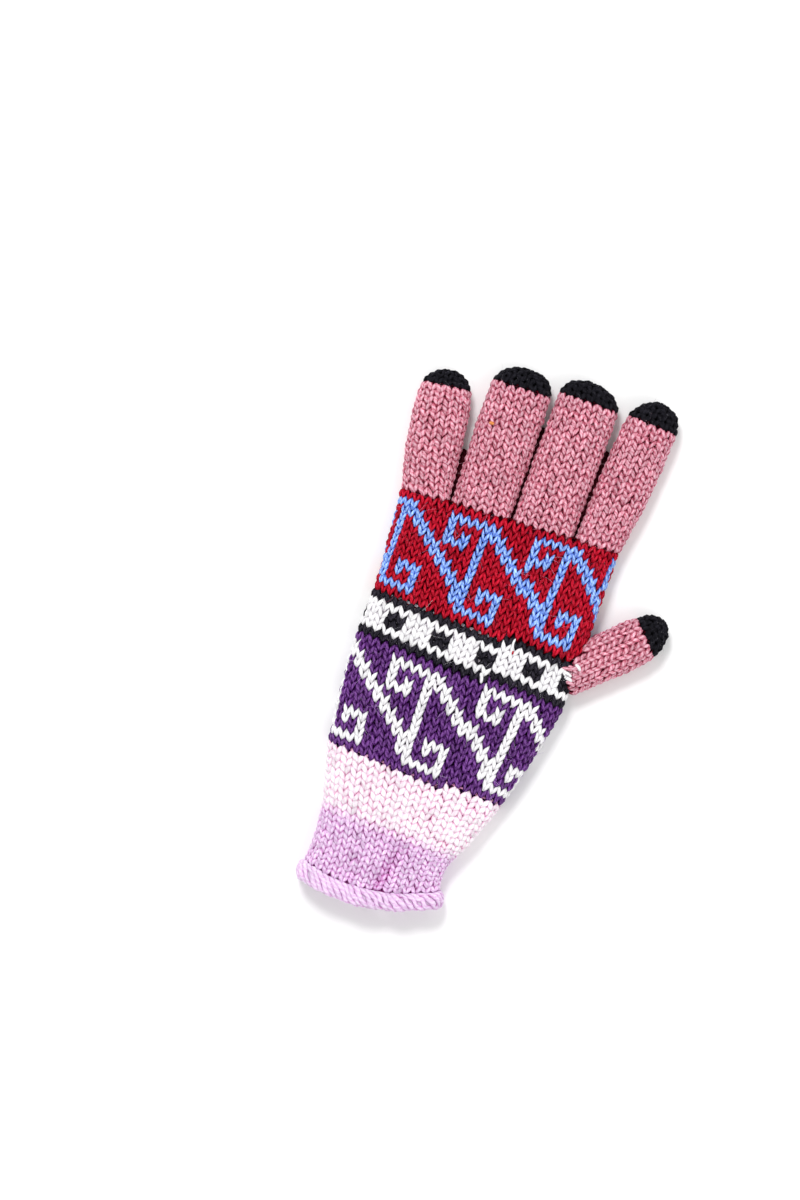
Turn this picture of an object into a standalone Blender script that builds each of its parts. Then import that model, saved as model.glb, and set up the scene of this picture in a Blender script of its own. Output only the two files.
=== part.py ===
# Knit glove, lying flat on its palm with the back of the hand up.
# +Y runs from the cuff to the fingers, +X to the thumb, +Z up, in metres.
# The origin is on the underside, in the middle of the dotted band.

import math
from collections import namedtuple

import bmesh
import bpy
from mathutils import Vector

# Lengths along the hand, from the mouth to the knuckles
ROLL_LENGTH = 0.0085
CUFF_LENGTH = 0.0298
WRIST_BAND_LENGTH = 0.0243
LOWER_FRET_LENGTH = 0.0522
DOTTED_BAND_LENGTH = 0.0207
UPPER_FRET_LENGTH = 0.0495

# Widths across the hand; the knuckles are as wide as the four fingers side by side
MOUTH_WIDTH = 0.0616
WRIST_WIDTH = 0.0680
HEEL_WIDTH = 0.0828
PALM_WIDTH = 0.0995

# Heights of the filled-out tubes above the surface that the glove lies on
CUFF_HEIGHT = 0.0160
PALM_HEIGHT = 0.0172
FINGER_HEIGHT = 0.0150
THUMB_HEIGHT = 0.0146

# The fabric, and how far the rolled edge stands proud of the cuff
WALL = 0.0026
ROLL_BULGE = 0.0024

# Gaps between one piece and the next
SEAM_GAP = 0.0003
FINGER_GAP = 0.0008
BORE_EASE = 0.0002

# Slant of the mouth and of the knuckle line, as rise over run, how far the mouth's sides ride up, and how a
# finger leaves the knuckle line
MOUTH_SLANT = 0.16
MOUTH_BOW = 0.0065
KNUCKLE_SLANT = 0.0925
WEB_RADIUS = 0.0030
BLEND_LENGTH = 0.0120
THUMB_ROOT = 0.0140
FOLD_DEPTH = 0.0024
FOLD_WIDTH = 0.0050

# Steps of the facets
ARC_STEPS = 3
HAND_FLAT_STEPS = 8
CUFF_FLAT_STEPS = 14
FINGER_FLAT_STEPS = 4
FINGER_STEPS = 7
ROLL_STEPS = 6
CUFF_STEPS = 5
WRIST_STEPS = 3
FRET_STEPS = 4
DOTTED_STEPS = 2
TIP_STATIONS = (0.0, 0.32, 0.60, 0.82, 0.95)
CUTTER_STATIONS = (-1.0, -0.6, -0.3, 0.0, 0.3, 0.6, 1.0)
SHARP_ANGLE = 50.0

# Shares that shape every section
ROUND_SHARE = 0.46
CROWN_SHARE = 0.09
MIN_ROUND = 0.0006
SWELL_SHARE = 0.40

# One finger: width, length and the black tip are real sizes, lean is in degrees towards the thumb, the swells
# and tip_shift are shares of the width, dome is the share of the length where the tip starts to round off and
# blunt is the power of the tip's curve, 2 for an ellipse and more for a squarer tip
Finger = namedtuple("Finger", "name width length tip lean swell_left swell_right dome tip_shift blunt")
LITTLE = Finger("little", 0.0228, 0.0576, 0.0076, -10.1, 0.10, 0.05, 0.68, 0.00, 2.4)
RING = Finger("ring", 0.0274, 0.0679, 0.0096, -3.4, 0.04, 0.022, 0.78, 0.045, 2.6)
MIDDLE = Finger("middle", 0.0283, 0.0702, 0.0092, -1.75, 0.02, 0.02, 0.79, -0.04, 2.7)
INDEX = Finger("index", 0.0215, 0.0708, 0.0112, 1.5, 0.05, 0.12, 0.74, 0.08, 2.5)
THUMB = Finger("thumb", 0.0207, 0.0440, 0.0117, 44.0, 0.03, 0.04, 0.54, -0.10, 2.1)
FINGERS = (LITTLE, RING, MIDDLE, INDEX)

# One lengthwise fold of the cuff: its place and width across the mouth, its depth and how far up it reaches,
# as shares of MOUTH_WIDTH, FOLD_WIDTH, FOLD_DEPTH and CUFF_LENGTH
Fold = namedtuple("Fold", "place width depth reach")
FOLDS = (
    Fold(0.13, 1.0, 1.00, 1.05),
    Fold(-0.13, 0.8, 0.50, 0.55),
    Fold(0.36, 0.9, 0.60, 0.60),
)

# One cross-section: where its middle is, the direction across it, its reach to both sides, its lowest and
# highest level at the sides, its corner radii, how much its top is crowned and how far its sides ride up
Section = namedtuple("Section", "centre across left right low high round_left round_right crown bow")

COLOURS = {
    "lilac": (0.66, 0.38, 0.66),
    "pale_pink": (0.93, 0.74, 0.84),
    "purple": (0.13, 0.035, 0.25),
    "white": (0.86, 0.85, 0.84),
    "red": (0.50, 0.008, 0.022),
    "rose": (0.58, 0.19, 0.25),
    "black": (0.012, 0.012, 0.016),
}
YARN_ROUGHNESS = 0.9


def lerp(start, end, share):
    """The value that lies at a share of the way from start to end."""
    return start + (end - start) * share


def ease(share):
    """A smooth step from 0 to 1, level at both ends."""
    share = min(max(share, 0.0), 1.0)
    return share * share * (3.0 - 2.0 * share)


# The hand's outline: a row for each station, from the mouth to the knuckles. y is worked out from the band
# lengths, and shift, how far the middle lies off the palm's middle, is a share of PALM_WIDTH.
Station = namedtuple("Station", "y shift width height slant bow")
DOTTED_START = -DOTTED_BAND_LENGTH / 2
DOTTED_END = DOTTED_BAND_LENGTH / 2
KNUCKLE_Y = DOTTED_END + UPPER_FRET_LENGTH
HEEL_Y = DOTTED_START - LOWER_FRET_LENGTH
WRIST_Y = HEEL_Y - WRIST_BAND_LENGTH
MOUTH_Y = WRIST_Y - CUFF_LENGTH
KNUCKLE_WIDTH = sum(finger.width for finger in FINGERS) + FINGER_GAP * (len(FINGERS) - 1)
HAND = (
    Station(MOUTH_Y, -0.016, MOUTH_WIDTH, CUFF_HEIGHT, MOUTH_SLANT, MOUTH_BOW),
    Station(lerp(MOUTH_Y, WRIST_Y, 0.5), -0.026, lerp(MOUTH_WIDTH, WRIST_WIDTH, -0.1), CUFF_HEIGHT,
            MOUTH_SLANT * 0.6, MOUTH_BOW * 0.5),
    Station(WRIST_Y, -0.013, WRIST_WIDTH, CUFF_HEIGHT, MOUTH_SLANT * 0.25, MOUTH_BOW * 0.15),
    Station(HEEL_Y, -0.013, HEEL_WIDTH, lerp(CUFF_HEIGHT, PALM_HEIGHT, 0.4), 0.0, 0.0),
    Station(lerp(HEEL_Y, DOTTED_START, 0.5), -0.005, lerp(HEEL_WIDTH, PALM_WIDTH, 0.6),
            PALM_HEIGHT, 0.0, 0.0),
    Station(DOTTED_START, 0.002, PALM_WIDTH, PALM_HEIGHT, 0.0, 0.0),
    Station(DOTTED_END, 0.0, PALM_WIDTH, PALM_HEIGHT, KNUCKLE_SLANT * 0.1, 0.0),
    Station(lerp(DOTTED_END, KNUCKLE_Y, 0.5), -0.018, lerp(PALM_WIDTH, KNUCKLE_WIDTH, 0.3),
            lerp(PALM_HEIGHT, FINGER_HEIGHT, 0.4), KNUCKLE_SLANT * 0.5, 0.0),
    Station(KNUCKLE_Y, -0.038, KNUCKLE_WIDTH, FINGER_HEIGHT, KNUCKLE_SLANT, 0.0),
)


def tangent(index, column):
    """Slope of one column of the hand's table at a station."""
    before = HAND[max(index - 1, 0)]
    after = HAND[min(index + 1, len(HAND) - 1)]
    return (getattr(after, column) - getattr(before, column)) / (after.y - before.y)


def hand_value(y, column):
    """One column of the hand's table at y, on a smooth curve through the stations."""
    index = 0
    while index < len(HAND) - 2 and y > HAND[index + 1].y:
        index += 1
    first, second = HAND[index], HAND[index + 1]
    span = second.y - first.y
    share = min(max((y - first.y) / span, 0.0), 1.0)
    rise = share * share * (3.0 - 2.0 * share)
    bend_first = share * (1.0 - share) ** 2 * span * tangent(index, column)
    bend_second = share * share * (share - 1.0) * span * tangent(index + 1, column)
    return lerp(getattr(first, column), getattr(second, column), rise) + bend_first + bend_second


def rounding(height):
    """Corner radius of a side of the given height."""
    return ROUND_SHARE * height


def hand_section(y, stretch=0.0, proud=0.0):
    """The hand's cross-section at y, moved along by stretch and grown by proud at its sides and top."""
    height = hand_value(y, "height")
    crown = CROWN_SHARE * height
    side = height - crown + proud
    reach = hand_value(y, "width") / 2 + proud
    centre = Vector((hand_value(y, "shift") * PALM_WIDTH, y + stretch))
    across = Vector((1.0, hand_value(y, "slant")))
    bow = hand_value(y, "bow")
    return Section(centre, across, reach, reach, 0.0, side, rounding(side), rounding(side), crown, bow)


def dome(along, start, end, blunt):
    """How much of its full size a fingertip has at a distance along the finger, down to 0 at its end."""
    if along <= start:
        return 1.0
    share = min((along - start) / (end - start), 1.0)
    return (1.0 - share ** blunt) ** (1.0 / blunt)


def finger_section(finger, root, height, along, inset, free_left, free_right, base_across):
    """A finger's cross-section at a distance along it, inset by the wall for its inside."""
    lean = math.radians(finger.lean)
    axis = Vector((math.sin(lean), math.cos(lean)))
    square = Vector((math.cos(lean), -math.sin(lean)))
    turn = ease(along / BLEND_LENGTH)
    across = base_across.lerp(square, turn)
    start = finger.dome * finger.length
    full = dome(along, start, finger.length - inset, finger.blunt)
    swell = ease(along / (SWELL_SHARE * finger.length))
    left = finger.width * (0.5 + finger.swell_left * swell) - inset
    right = finger.width * (0.5 + finger.swell_right * swell) - inset
    shift = finger.tip_shift * finger.width * max((along - start) / (finger.length - start), 0.0) ** 2
    crown = CROWN_SHARE * height * full
    middle = (height - CROWN_SHARE * height) / 2
    half = (middle - inset) * full
    round_full = max(rounding(2 * middle) - inset, MIN_ROUND) * full
    round_web = max(WEB_RADIUS - inset, MIN_ROUND) * full
    round_left = round_full if free_left else lerp(round_web, round_full, turn)
    round_right = round_full if free_right else lerp(round_web, round_full, turn)
    centre = root + axis * along + across * shift
    return Section(centre, across, left * full, right * full, middle - half, middle + half,
                   round_left, round_right, crown, 0.0)


def outline(section, inset, flat_steps):
    """The section's closed outline in its own plane, counter-clockwise seen from the cuff."""
    left, right = inset - section.left, section.right - inset
    low, high = section.low + inset, section.high - inset
    round_left = max(section.round_left - inset, MIN_ROUND) if inset > 0 else section.round_left - inset
    round_right = max(section.round_right - inset, MIN_ROUND) if inset > 0 else section.round_right - inset
    corners = (
        (right - round_right, low + round_right, round_right, -0.5),
        (right - round_right, high - round_right, round_right, 0.0),
        (left + round_left, high - round_left, round_left, 0.5),
        (left + round_left, low + round_left, round_left, 1.0),
    )
    arcs = []
    for x, z, radius, first in corners:
        angles = [math.pi * (first + 0.5 * step / ARC_STEPS) for step in range(ARC_STEPS + 1)]
        arcs.append([(x + radius * math.cos(a), z + radius * math.sin(a)) for a in angles])
    points = []
    for arc, after, flat in zip(arcs, arcs[1:] + arcs[:1], (False, True, False, True)):
        points += arc
        if flat:
            (x0, z0), (x1, z1) = arc[-1], after[0]
            steps = [k / flat_steps for k in range(1, flat_steps)]
            points += [(lerp(x0, x1, share), lerp(z0, z1, share)) for share in steps]
    return [(x, z + crown_lift(section, x, z)) for x, z in points]


def crown_lift(section, x, z):
    """How far the crown lifts a point of the outline; nothing at the underside."""
    reach = section.left if x < 0 else section.right
    rise = max(z - section.low, 0.0) / (section.high - section.low)
    return section.crown * rise * max(1.0 - (x / reach) ** 2, 0.0)


def fold_drop(section, x, z, y):
    """How deep the cuff's folds press a point of its upper layer down."""
    rise = (z - section.low) / (section.high - section.low)
    if rise < 0.5:
        return 0.0
    drop = 0.0
    for fold in FOLDS:
        across = (x - fold.place * MOUTH_WIDTH) / (fold.width * FOLD_WIDTH)
        up = max(1.0 - (y - MOUTH_Y) / (fold.reach * CUFF_LENGTH), 0.0)
        drop += fold.depth * FOLD_DEPTH * math.exp(-across * across) * ease(up)
    return drop


def ring(section, inset, flat_steps, folded=False):
    """The section's outline as points in space."""
    points = []
    for x, z in outline(section, inset, flat_steps):
        reach = section.left if x < 0 else section.right
        place = section.centre + section.across * x
        up = section.bow * (x / reach) ** 2
        drop = fold_drop(section, x, z, section.centre.y) if folded else 0.0
        points.append(Vector((place.x, place.y + up, z - drop)))
    return points


def add_skin(bm, rings):
    """Faces between one ring of vertices and the next."""
    rows = [[bm.verts.new(point) for point in points] for points in rings]
    for row, above in zip(rows, rows[1:]):
        for k in range(len(row)):
            bm.faces.new((row[k], above[k], above[k - 1], row[k - 1]))
    return rows


def add_rim(bm, outer, inner):
    """The flat ring of fabric between the outside and the inside at an open end."""
    for k in range(len(outer)):
        bm.faces.new((outer[k - 1], outer[k], inner[k], inner[k - 1]))


def add_pole(bm, row, point):
    """A fan that closes a skin at a fingertip."""
    pole = bm.verts.new(point)
    for k in range(len(row)):
        bm.faces.new((row[k - 1], row[k], pole))


def finish(bm, name, colour):
    """The built mesh as a named object with its yarn colour, shaded smooth."""
    bmesh.ops.recalc_face_normals(bm, faces=bm.faces)
    mesh = bpy.data.meshes.new(name)
    bm.to_mesh(mesh)
    bm.free()
    mesh.shade_smooth()
    mesh.set_sharp_from_angle(angle=math.radians(SHARP_ANGLE))
    obj = bpy.data.objects.new(name, mesh)
    bpy.context.scene.collection.objects.link(obj)
    if colour:
        mesh.materials.append(yarn_material(colour))
    return obj


def yarn_material(colour):
    """The plain material of one yarn colour, made once."""
    name = colour + "_yarn"
    if name in bpy.data.materials:
        return bpy.data.materials[name]
    material = bpy.data.materials.new(name)
    material.use_nodes = True
    shader = material.node_tree.nodes["Principled BSDF"]
    shader.inputs["Base Color"].default_value = (*COLOURS[colour], 1.0)
    shader.inputs["Roughness"].default_value = YARN_ROUGHNESS
    shader.inputs["Metallic"].default_value = 0.0
    return material


def make_tube(name, colour, outer, inner):
    """A hollow tube, open at both ends, from its outer and inner rings."""
    bm = bmesh.new()
    outside = add_skin(bm, outer)
    inside = add_skin(bm, inner)
    add_rim(bm, outside[0], inside[0])
    add_rim(bm, outside[-1], inside[-1])
    return finish(bm, name, colour)


def make_cap(name, colour, outer, inner, outer_pole, inner_pole):
    """A hollow cap, open at its base, from its outer and inner rings and poles."""
    bm = bmesh.new()
    outside = add_skin(bm, outer)
    inside = add_skin(bm, inner)
    add_rim(bm, outside[0], inside[0])
    add_pole(bm, outside[-1], outer_pole)
    add_pole(bm, inside[-1], inner_pole)
    return finish(bm, name, colour)


def make_cutter(name, rings):
    """A closed solid that only cuts other pieces."""
    bm = bmesh.new()
    rows = add_skin(bm, rings)
    bm.faces.new(rows[0])
    bm.faces.new(rows[-1])
    cutter = finish(bm, name, None)
    cutter.hide_render = True
    cutter.display_type = "WIRE"
    return cutter


def cut(obj, cutter):
    """Takes the cutter's space out of an object."""
    modifier = obj.modifiers.new("cut_" + cutter.name, "BOOLEAN")
    modifier.operation = "DIFFERENCE"
    modifier.solver = "EXACT"
    modifier.object = cutter


def make_band(name, colour, start, end, steps, flat_steps, folded=False):
    """One band of the hand between two levels, a seam's gap short of its neighbours."""
    levels = [lerp(start + SEAM_GAP / 2, end - SEAM_GAP / 2, k / steps) for k in range(steps + 1)]
    sections = [hand_section(y) for y in levels]
    outer = [ring(section, 0.0, flat_steps, folded) for section in sections]
    inner = [ring(section, WALL, flat_steps, folded) for section in sections]
    return make_tube(name, colour, outer, inner)


def make_roll(name, colour):
    """The rolled edge that follows the mouth: a band whose outside bulges and whose bore runs straight on."""
    outer, inner = [], []
    for k in range(ROLL_STEPS + 1):
        share = 0.5 - 0.5 * math.cos(math.pi * k / ROLL_STEPS)
        stretch = lerp(-ROLL_LENGTH, -SEAM_GAP / 2, share)
        proud = ROLL_BULGE * math.sin(math.pi * k / ROLL_STEPS)
        outer.append(ring(hand_section(MOUTH_Y, stretch, proud), 0.0, CUFF_FLAT_STEPS, True))
        inner.append(ring(hand_section(MOUTH_Y, stretch), WALL, CUFF_FLAT_STEPS, True))
    return make_tube(name, colour, outer, inner)


def finger_levels(finger, first):
    """Distances along a finger's tube from its base to its black tip."""
    last = finger.length - finger.tip - SEAM_GAP / 2
    return [lerp(first, last, k / FINGER_STEPS) for k in range(FINGER_STEPS + 1)]


def make_finger(finger, root, height, free_left, free_right, base_across, first):
    """One finger's tube and its black tip; returns the tube."""
    def section(along, inset):
        return finger_section(finger, root, height, along, inset, free_left, free_right, base_across)

    levels = finger_levels(finger, first)
    outer = [ring(section(along, 0.0), 0.0, FINGER_FLAT_STEPS) for along in levels]
    inner = [ring(section(along, WALL), 0.0, FINGER_FLAT_STEPS) for along in levels]
    tube_name = "thumb" if finger is THUMB else finger.name + "_finger"
    tube = make_tube(tube_name, "rose", outer, inner)

    base = finger.length - finger.tip + SEAM_GAP / 2
    tip_outer, tip_inner, poles = [], [], []
    for inset, rings in ((0.0, tip_outer), (WALL, tip_inner)):
        end = finger.length - inset
        for share in TIP_STATIONS:
            rings.append(ring(section(lerp(base, end, share), inset), 0.0, FINGER_FLAT_STEPS))
        pole = section(end, inset)
        poles.append(Vector((*pole.centre, (pole.low + pole.high) / 2)))
    make_cap(finger.name + "_tip", "black", tip_outer, tip_inner, *poles)
    return tube


def make_fingers():
    """The four fingers side by side on the knuckle line."""
    knuckle = hand_section(KNUCKLE_Y)
    place = -KNUCKLE_WIDTH / 2
    for finger in FINGERS:
        middle = place + finger.width / 2
        root = knuckle.centre + knuckle.across * middle + Vector((0.0, SEAM_GAP / 2))
        make_finger(finger, root, FINGER_HEIGHT, finger is LITTLE, finger is INDEX, knuckle.across, 0.0)
        place += finger.width + FINGER_GAP


def make_thumb(crossed_bands):
    """The thumb, cut to the hand's side, and its bore through the bands that it leaves."""
    side = hand_section(DOTTED_END)
    root = side.centre + side.across * side.right
    lean = math.radians(THUMB.lean)
    square = Vector((math.cos(lean), -math.sin(lean)))
    tube = make_finger(THUMB, root, THUMB_HEIGHT, True, True, square, -THUMB_ROOT)

    reach = THUMB.width + THUMB_ROOT
    levels = [DOTTED_END + reach * share for share in CUTTER_STATIONS]
    blank = [ring(hand_section(y), -SEAM_GAP, HAND_FLAT_STEPS) for y in levels]
    cut(tube, make_cutter("hand_side_cutter", blank))

    bore = []
    for along in (-THUMB_ROOT, THUMB_ROOT / 2):
        section = finger_section(THUMB, root, THUMB_HEIGHT, along, WALL + BORE_EASE, True, True, square)
        bore.append(ring(section, 0.0, FINGER_FLAT_STEPS))
    bore_cutter = make_cutter("thumb_bore_cutter", bore)
    for band in crossed_bands:
        cut(band, bore_cutter)


def main():
    """Clears the scene and builds the glove from its mouth to its fingertips."""
    for obj in list(bpy.data.objects):
        bpy.data.objects.remove(obj)
    make_roll("cuff_roll", "lilac")
    make_band("cuff", "lilac", MOUTH_Y, WRIST_Y, CUFF_STEPS, CUFF_FLAT_STEPS, True)
    make_band("wrist_band", "pale_pink", WRIST_Y, HEEL_Y, WRIST_STEPS, HAND_FLAT_STEPS)
    make_band("lower_fret_band", "purple", HEEL_Y, DOTTED_START, FRET_STEPS, HAND_FLAT_STEPS)
    dotted = make_band("dotted_band", "white", DOTTED_START, DOTTED_END, DOTTED_STEPS, HAND_FLAT_STEPS)
    upper = make_band("upper_fret_band", "red", DOTTED_END, KNUCKLE_Y, FRET_STEPS, HAND_FLAT_STEPS)
    make_fingers()
    make_thumb((dotted, upper))


main()
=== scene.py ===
"""Looks of the knit glove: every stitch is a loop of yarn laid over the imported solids.

+Y runs from the cuff to the fingers, +X to the thumb and +Z up, in metres.
"""

import logging
import math
from dataclasses import dataclass
from enum import Enum
from functools import partial
from typing import Callable, Optional, Sequence, Union

import bpy
import numpy as np
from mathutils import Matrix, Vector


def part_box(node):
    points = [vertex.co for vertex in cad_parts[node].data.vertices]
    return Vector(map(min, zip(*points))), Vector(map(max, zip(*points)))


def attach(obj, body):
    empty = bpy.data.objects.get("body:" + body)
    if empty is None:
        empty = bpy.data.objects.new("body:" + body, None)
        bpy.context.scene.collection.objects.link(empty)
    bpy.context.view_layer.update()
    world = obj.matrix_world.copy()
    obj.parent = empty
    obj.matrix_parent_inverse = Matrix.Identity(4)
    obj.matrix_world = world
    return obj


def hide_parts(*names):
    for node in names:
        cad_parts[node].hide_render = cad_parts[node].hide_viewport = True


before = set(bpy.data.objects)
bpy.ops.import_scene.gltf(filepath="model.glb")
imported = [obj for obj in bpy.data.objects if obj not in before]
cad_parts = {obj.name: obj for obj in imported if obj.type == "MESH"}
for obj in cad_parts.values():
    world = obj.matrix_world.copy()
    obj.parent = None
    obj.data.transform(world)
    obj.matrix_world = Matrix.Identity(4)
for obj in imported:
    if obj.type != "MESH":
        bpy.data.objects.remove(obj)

LOG = logging.getLogger("knit_glove")
BODY = "root"
SEED = 20413
ROLL_SEED = SEED + 5
FIBRE_SEED = SEED + 9
UP = (0.0, 0.0, 1.0)

# Attributes that carry the yarns' colours and coordinates to the shaders; besides the tint, a yarn has a
# painted shade for deep between its stitches and a painted highlight for their tops
YARN_COLOUR = "yarn_colour"
YARN_SHADE = "yarn_shade"
YARN_PAINTED_HIGHLIGHT = "yarn_painted_highlight"
YARN_UV = "yarn_uv"
COLOUR_COLUMNS = 10

# The fade of the dyed yarn above the cuff, and how far it passes the heel's line, in metres
FADE_START = -0.0915
FADE_LENGTH = 0.006
HEEL_STRAY = 0.0015

# How the CAD nodes are read: lengths in metres, areas in square metres
WELD = 2e-6
SHORTEST = 1e-12
FLATTEST = 1e-18
RIM_FACING = 0.82
RIM_POINTS = 8
CHAIN_POINTS = 6

# The dotted band's dark rounds, its squares, and the columns of its underside
DARK_ROUNDS = (0, 5)
SQUARE_ROUNDS = (2, 3)
SQUARE_REPEAT = 5
SQUARE_WIDTH = 2
UNDER_COLUMNS = (26, 42)


def linear(red: int, green: int, blue: int) -> tuple[float, float, float]:
    """Turns an 8-bit display colour into the linear colour that shaders take.

    Args:
        red: Red, 0 to 255.
        green: Green, 0 to 255.
        blue: Blue, 0 to 255.

    Returns:
        The linear colour.
    """
    shares = (channel / 255 for channel in (red, green, blue))
    return tuple(s / 12.92 if s <= 0.04045 else ((s + 0.055) / 1.055) ** 2.4 for s in shares)


@dataclass(frozen=True)
class YarnColour:
    """One dyed yarn.

    Args:
        tint: Its linear colour in the light.
        gap: The linear colour deep between its stitches, a painted shade.
        crest: The linear colour of the fibres on top of a stitch, a painted highlight.
        spread: How much stitches differ in lightness, as a share.
    """

    tint: tuple[float, float, float]
    gap: tuple[float, float, float]
    crest: tuple[float, float, float]
    spread: float

    def columns(self) -> np.ndarray:
        """Gives the tint, the painted shade and the painted highlight as one row of nine numbers."""
        return np.array(self.tint + self.gap + self.crest)


# Each yarn: its tint, its painted shade deep between stitches, its painted highlight on top of a stitch, and
# how much its stitches differ in lightness
class Yarn(Enum):
    """The yarns of the glove."""

    LILAC = YarnColour(linear(213, 163, 211), linear(184, 76, 160), linear(238, 218, 243), 0.03)
    PALE_PINK = YarnColour(linear(242, 216, 232), linear(255, 168, 212), linear(254, 250, 253), 0.015)
    PURPLE = YarnColour(linear(66, 20, 88), linear(19, 2, 28), linear(126, 80, 150), 0.09)
    WHITE = YarnColour(linear(232, 230, 232), linear(196, 186, 198), linear(251, 251, 253), 0.015)
    RED = YarnColour(linear(142, 1, 20), linear(48, 0, 7), linear(198, 32, 56), 0.09)
    BLUE = YarnColour(linear(90, 127, 221), linear(36, 26, 122), linear(172, 206, 254), 0.06)
    ROSE = YarnColour(linear(185, 92, 113), linear(100, 5, 28), linear(230, 182, 196), 0.04)
    BLACK = YarnColour(linear(22, 20, 27), linear(6, 6, 9), linear(50, 47, 56), 0.12)
    TIP_BLACK = YarnColour(linear(13, 12, 17), linear(4, 4, 6), linear(30, 29, 35), 0.10)
    ORANGE = YarnColour(linear(206, 120, 60), linear(150, 60, 40), linear(226, 158, 100), 0.04)


class Flow(Enum):
    """How a band's rounds follow each other."""

    SPIRAL = "spiral"
    CLOSED = "closed"


FRET = (
    "XXXXXX....",
    "X...XXX...",
    "X.X.X.XX..",
    "XXX.X..XX.",
    "....X...XX",
    "X...X....X",
    "XX..X.....",
    ".XX.X.....",
    "..XXX.XXX.",
    "...XX.X.X.",
    "...XX...X.",
    "....XXXXX.",
)


@dataclass(frozen=True)
class Placement:
    """A tube's own frame in the part.

    Args:
        origin: Where the frame starts, in the part.
        across: Unit direction of its x.
        along: Unit direction of its y.
    """

    origin: tuple[float, float, float] = (0.0, 0.0, 0.0)
    across: tuple[float, float, float] = (1.0, 0.0, 0.0)
    along: tuple[float, float, float] = (0.0, 1.0, 0.0)

    def axes(self) -> np.ndarray:
        """Gives the frame's three directions as rows.

        Returns:
            A 3 by 3 array.
        """
        return np.array([self.across, self.along, (0.0, 0.0, 1.0)])

    def to_local(self, points: np.ndarray) -> np.ndarray:
        """Moves points from the part into this frame.

        Args:
            points: Points of the part, one a row.

        Returns:
            The same points in this frame.
        """
        return (points - np.array(self.origin)) @ self.axes().T

    def to_part(self, points: np.ndarray) -> np.ndarray:
        """Moves points from this frame into the part.

        Args:
            points: Points of this frame, one a row.

        Returns:
            The same points in the part.
        """
        return points @ self.axes() + np.array(self.origin)


@dataclass(frozen=True)
class Anchor:
    """Where the first stitch of every round lies.

    Args:
        x: Its place across, in the tube's frame; None takes the middle.
        top: Whether it lies on the upper side.
    """

    x: Optional[float]
    top: bool


def joined_mesh(node: str) -> tuple[np.ndarray, np.ndarray]:
    """Reads a CAD node's surface with its double corners joined.

    Args:
        node: The node's name.

    Returns:
        Its points, and its triangles as indices into them.
    """
    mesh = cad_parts[node].data
    mesh.calc_loop_triangles()
    flat = np.empty(len(mesh.vertices) * 3)
    mesh.vertices.foreach_get("co", flat)
    corners = np.empty(len(mesh.loop_triangles) * 3, np.int32)
    mesh.loop_triangles.foreach_get("vertices", corners)
    points = flat.reshape(-1, 3)
    keys = np.round(points / WELD).astype(np.int64)
    _, first, inverse = np.unique(keys, axis=0, return_index=True, return_inverse=True)
    triangles = inverse.reshape(-1)[corners].reshape(-1, 3)
    sound = (
        (triangles[:, 0] != triangles[:, 1])
        & (triangles[:, 1] != triangles[:, 2])
        & (triangles[:, 0] != triangles[:, 2])
    )
    return points[first], triangles[sound]


def unit(vectors: np.ndarray, least: float = SHORTEST) -> np.ndarray:
    """Scales vectors to a length of one.

    Args:
        vectors: The vectors, in the last axis.
        least: The length below which a vector stays short.

    Returns:
        The scaled vectors.
    """
    return vectors / np.maximum(np.linalg.norm(vectors, axis=-1, keepdims=True), least)


def path_lengths(points: np.ndarray) -> np.ndarray:
    """Measures how far along a path each of its points lies.

    Args:
        points: The path's points, one a row.

    Returns:
        The distance from the first point, for each.
    """
    hops = np.linalg.norm(np.diff(points, axis=0), axis=1)
    return np.concatenate([[0.0], np.cumsum(hops)])


def triangle_normals(points: np.ndarray, triangles: np.ndarray) -> np.ndarray:
    """Works out the area-weighted normals of triangles.

    Args:
        points: The surface's points.
        triangles: Its triangles.

    Returns:
        One normal a row, as long as twice the triangle's area.
    """
    a, b, c = (points[triangles[:, k]] for k in range(3))
    return np.cross(b - a, c - a)


def rim_line(
    points: np.ndarray, triangles: np.ndarray, side: int, reach: float
) -> Optional[np.ndarray]:
    """Fits the curve y(x) of a tube's open end from the ring of fabric there.

    Args:
        points: The surface in the tube's frame.
        triangles: Its triangles.
        side: -1 for the end at low y, 1 for the end at high y.
        reach: Share of the tube's length, from that end, in which the ring lies.

    Returns:
        The quadratic's coefficients, highest power first, or None where there is no ring.
    """
    facing = unit(triangle_normals(points, triangles), FLATTEST)
    centres = points[triangles].mean(axis=1)
    low, high = points[:, 1].min(), points[:, 1].max()
    near = (centres[:, 1] - low if side < 0 else high - centres[:, 1]) < reach * (high - low)
    ring = np.unique(triangles[(facing[:, 1] * side > RIM_FACING) & near])
    if len(ring) < RIM_POINTS:
        return None
    return np.polyfit(points[ring, 0], points[ring, 1], 2)


def slice_loops(
    points: np.ndarray, triangles: np.ndarray, values: np.ndarray, level: float
) -> list[np.ndarray]:
    """Cuts a surface where a value of its points passes a level.

    Args:
        points: The surface's points.
        triangles: Its triangles.
        values: The value of each point.
        level: The level to cut at.

    Returns:
        The closed loops of cut points.
    """
    above = values > level
    crossing = triangles[(above[triangles].sum(axis=1) % 3) != 0]
    links: dict[tuple[int, int], list[tuple[int, int]]] = {}
    for triangle in crossing.tolist():
        edges = []
        for k in range(3):
            i, j = triangle[k], triangle[(k + 1) % 3]
            if above[i] != above[j]:
                edges.append((min(i, j), max(i, j)))
        if len(edges) == 2:
            links.setdefault(edges[0], []).append(edges[1])
            links.setdefault(edges[1], []).append(edges[0])
    loops = []
    left = set(links)
    while left:
        start = min(left)
        chain = [start]
        left.discard(start)
        while True:
            nexts = [edge for edge in links[chain[-1]] if edge in left]
            if not nexts:
                break
            chain.append(nexts[0])
            left.discard(nexts[0])
        if len(chain) >= CHAIN_POINTS:
            first, second = np.array(chain).T
            share = (level - values[first]) / (values[second] - values[first])
            loops.append(points[first] + (points[second] - points[first]) * share[:, None])
    return loops


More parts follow.
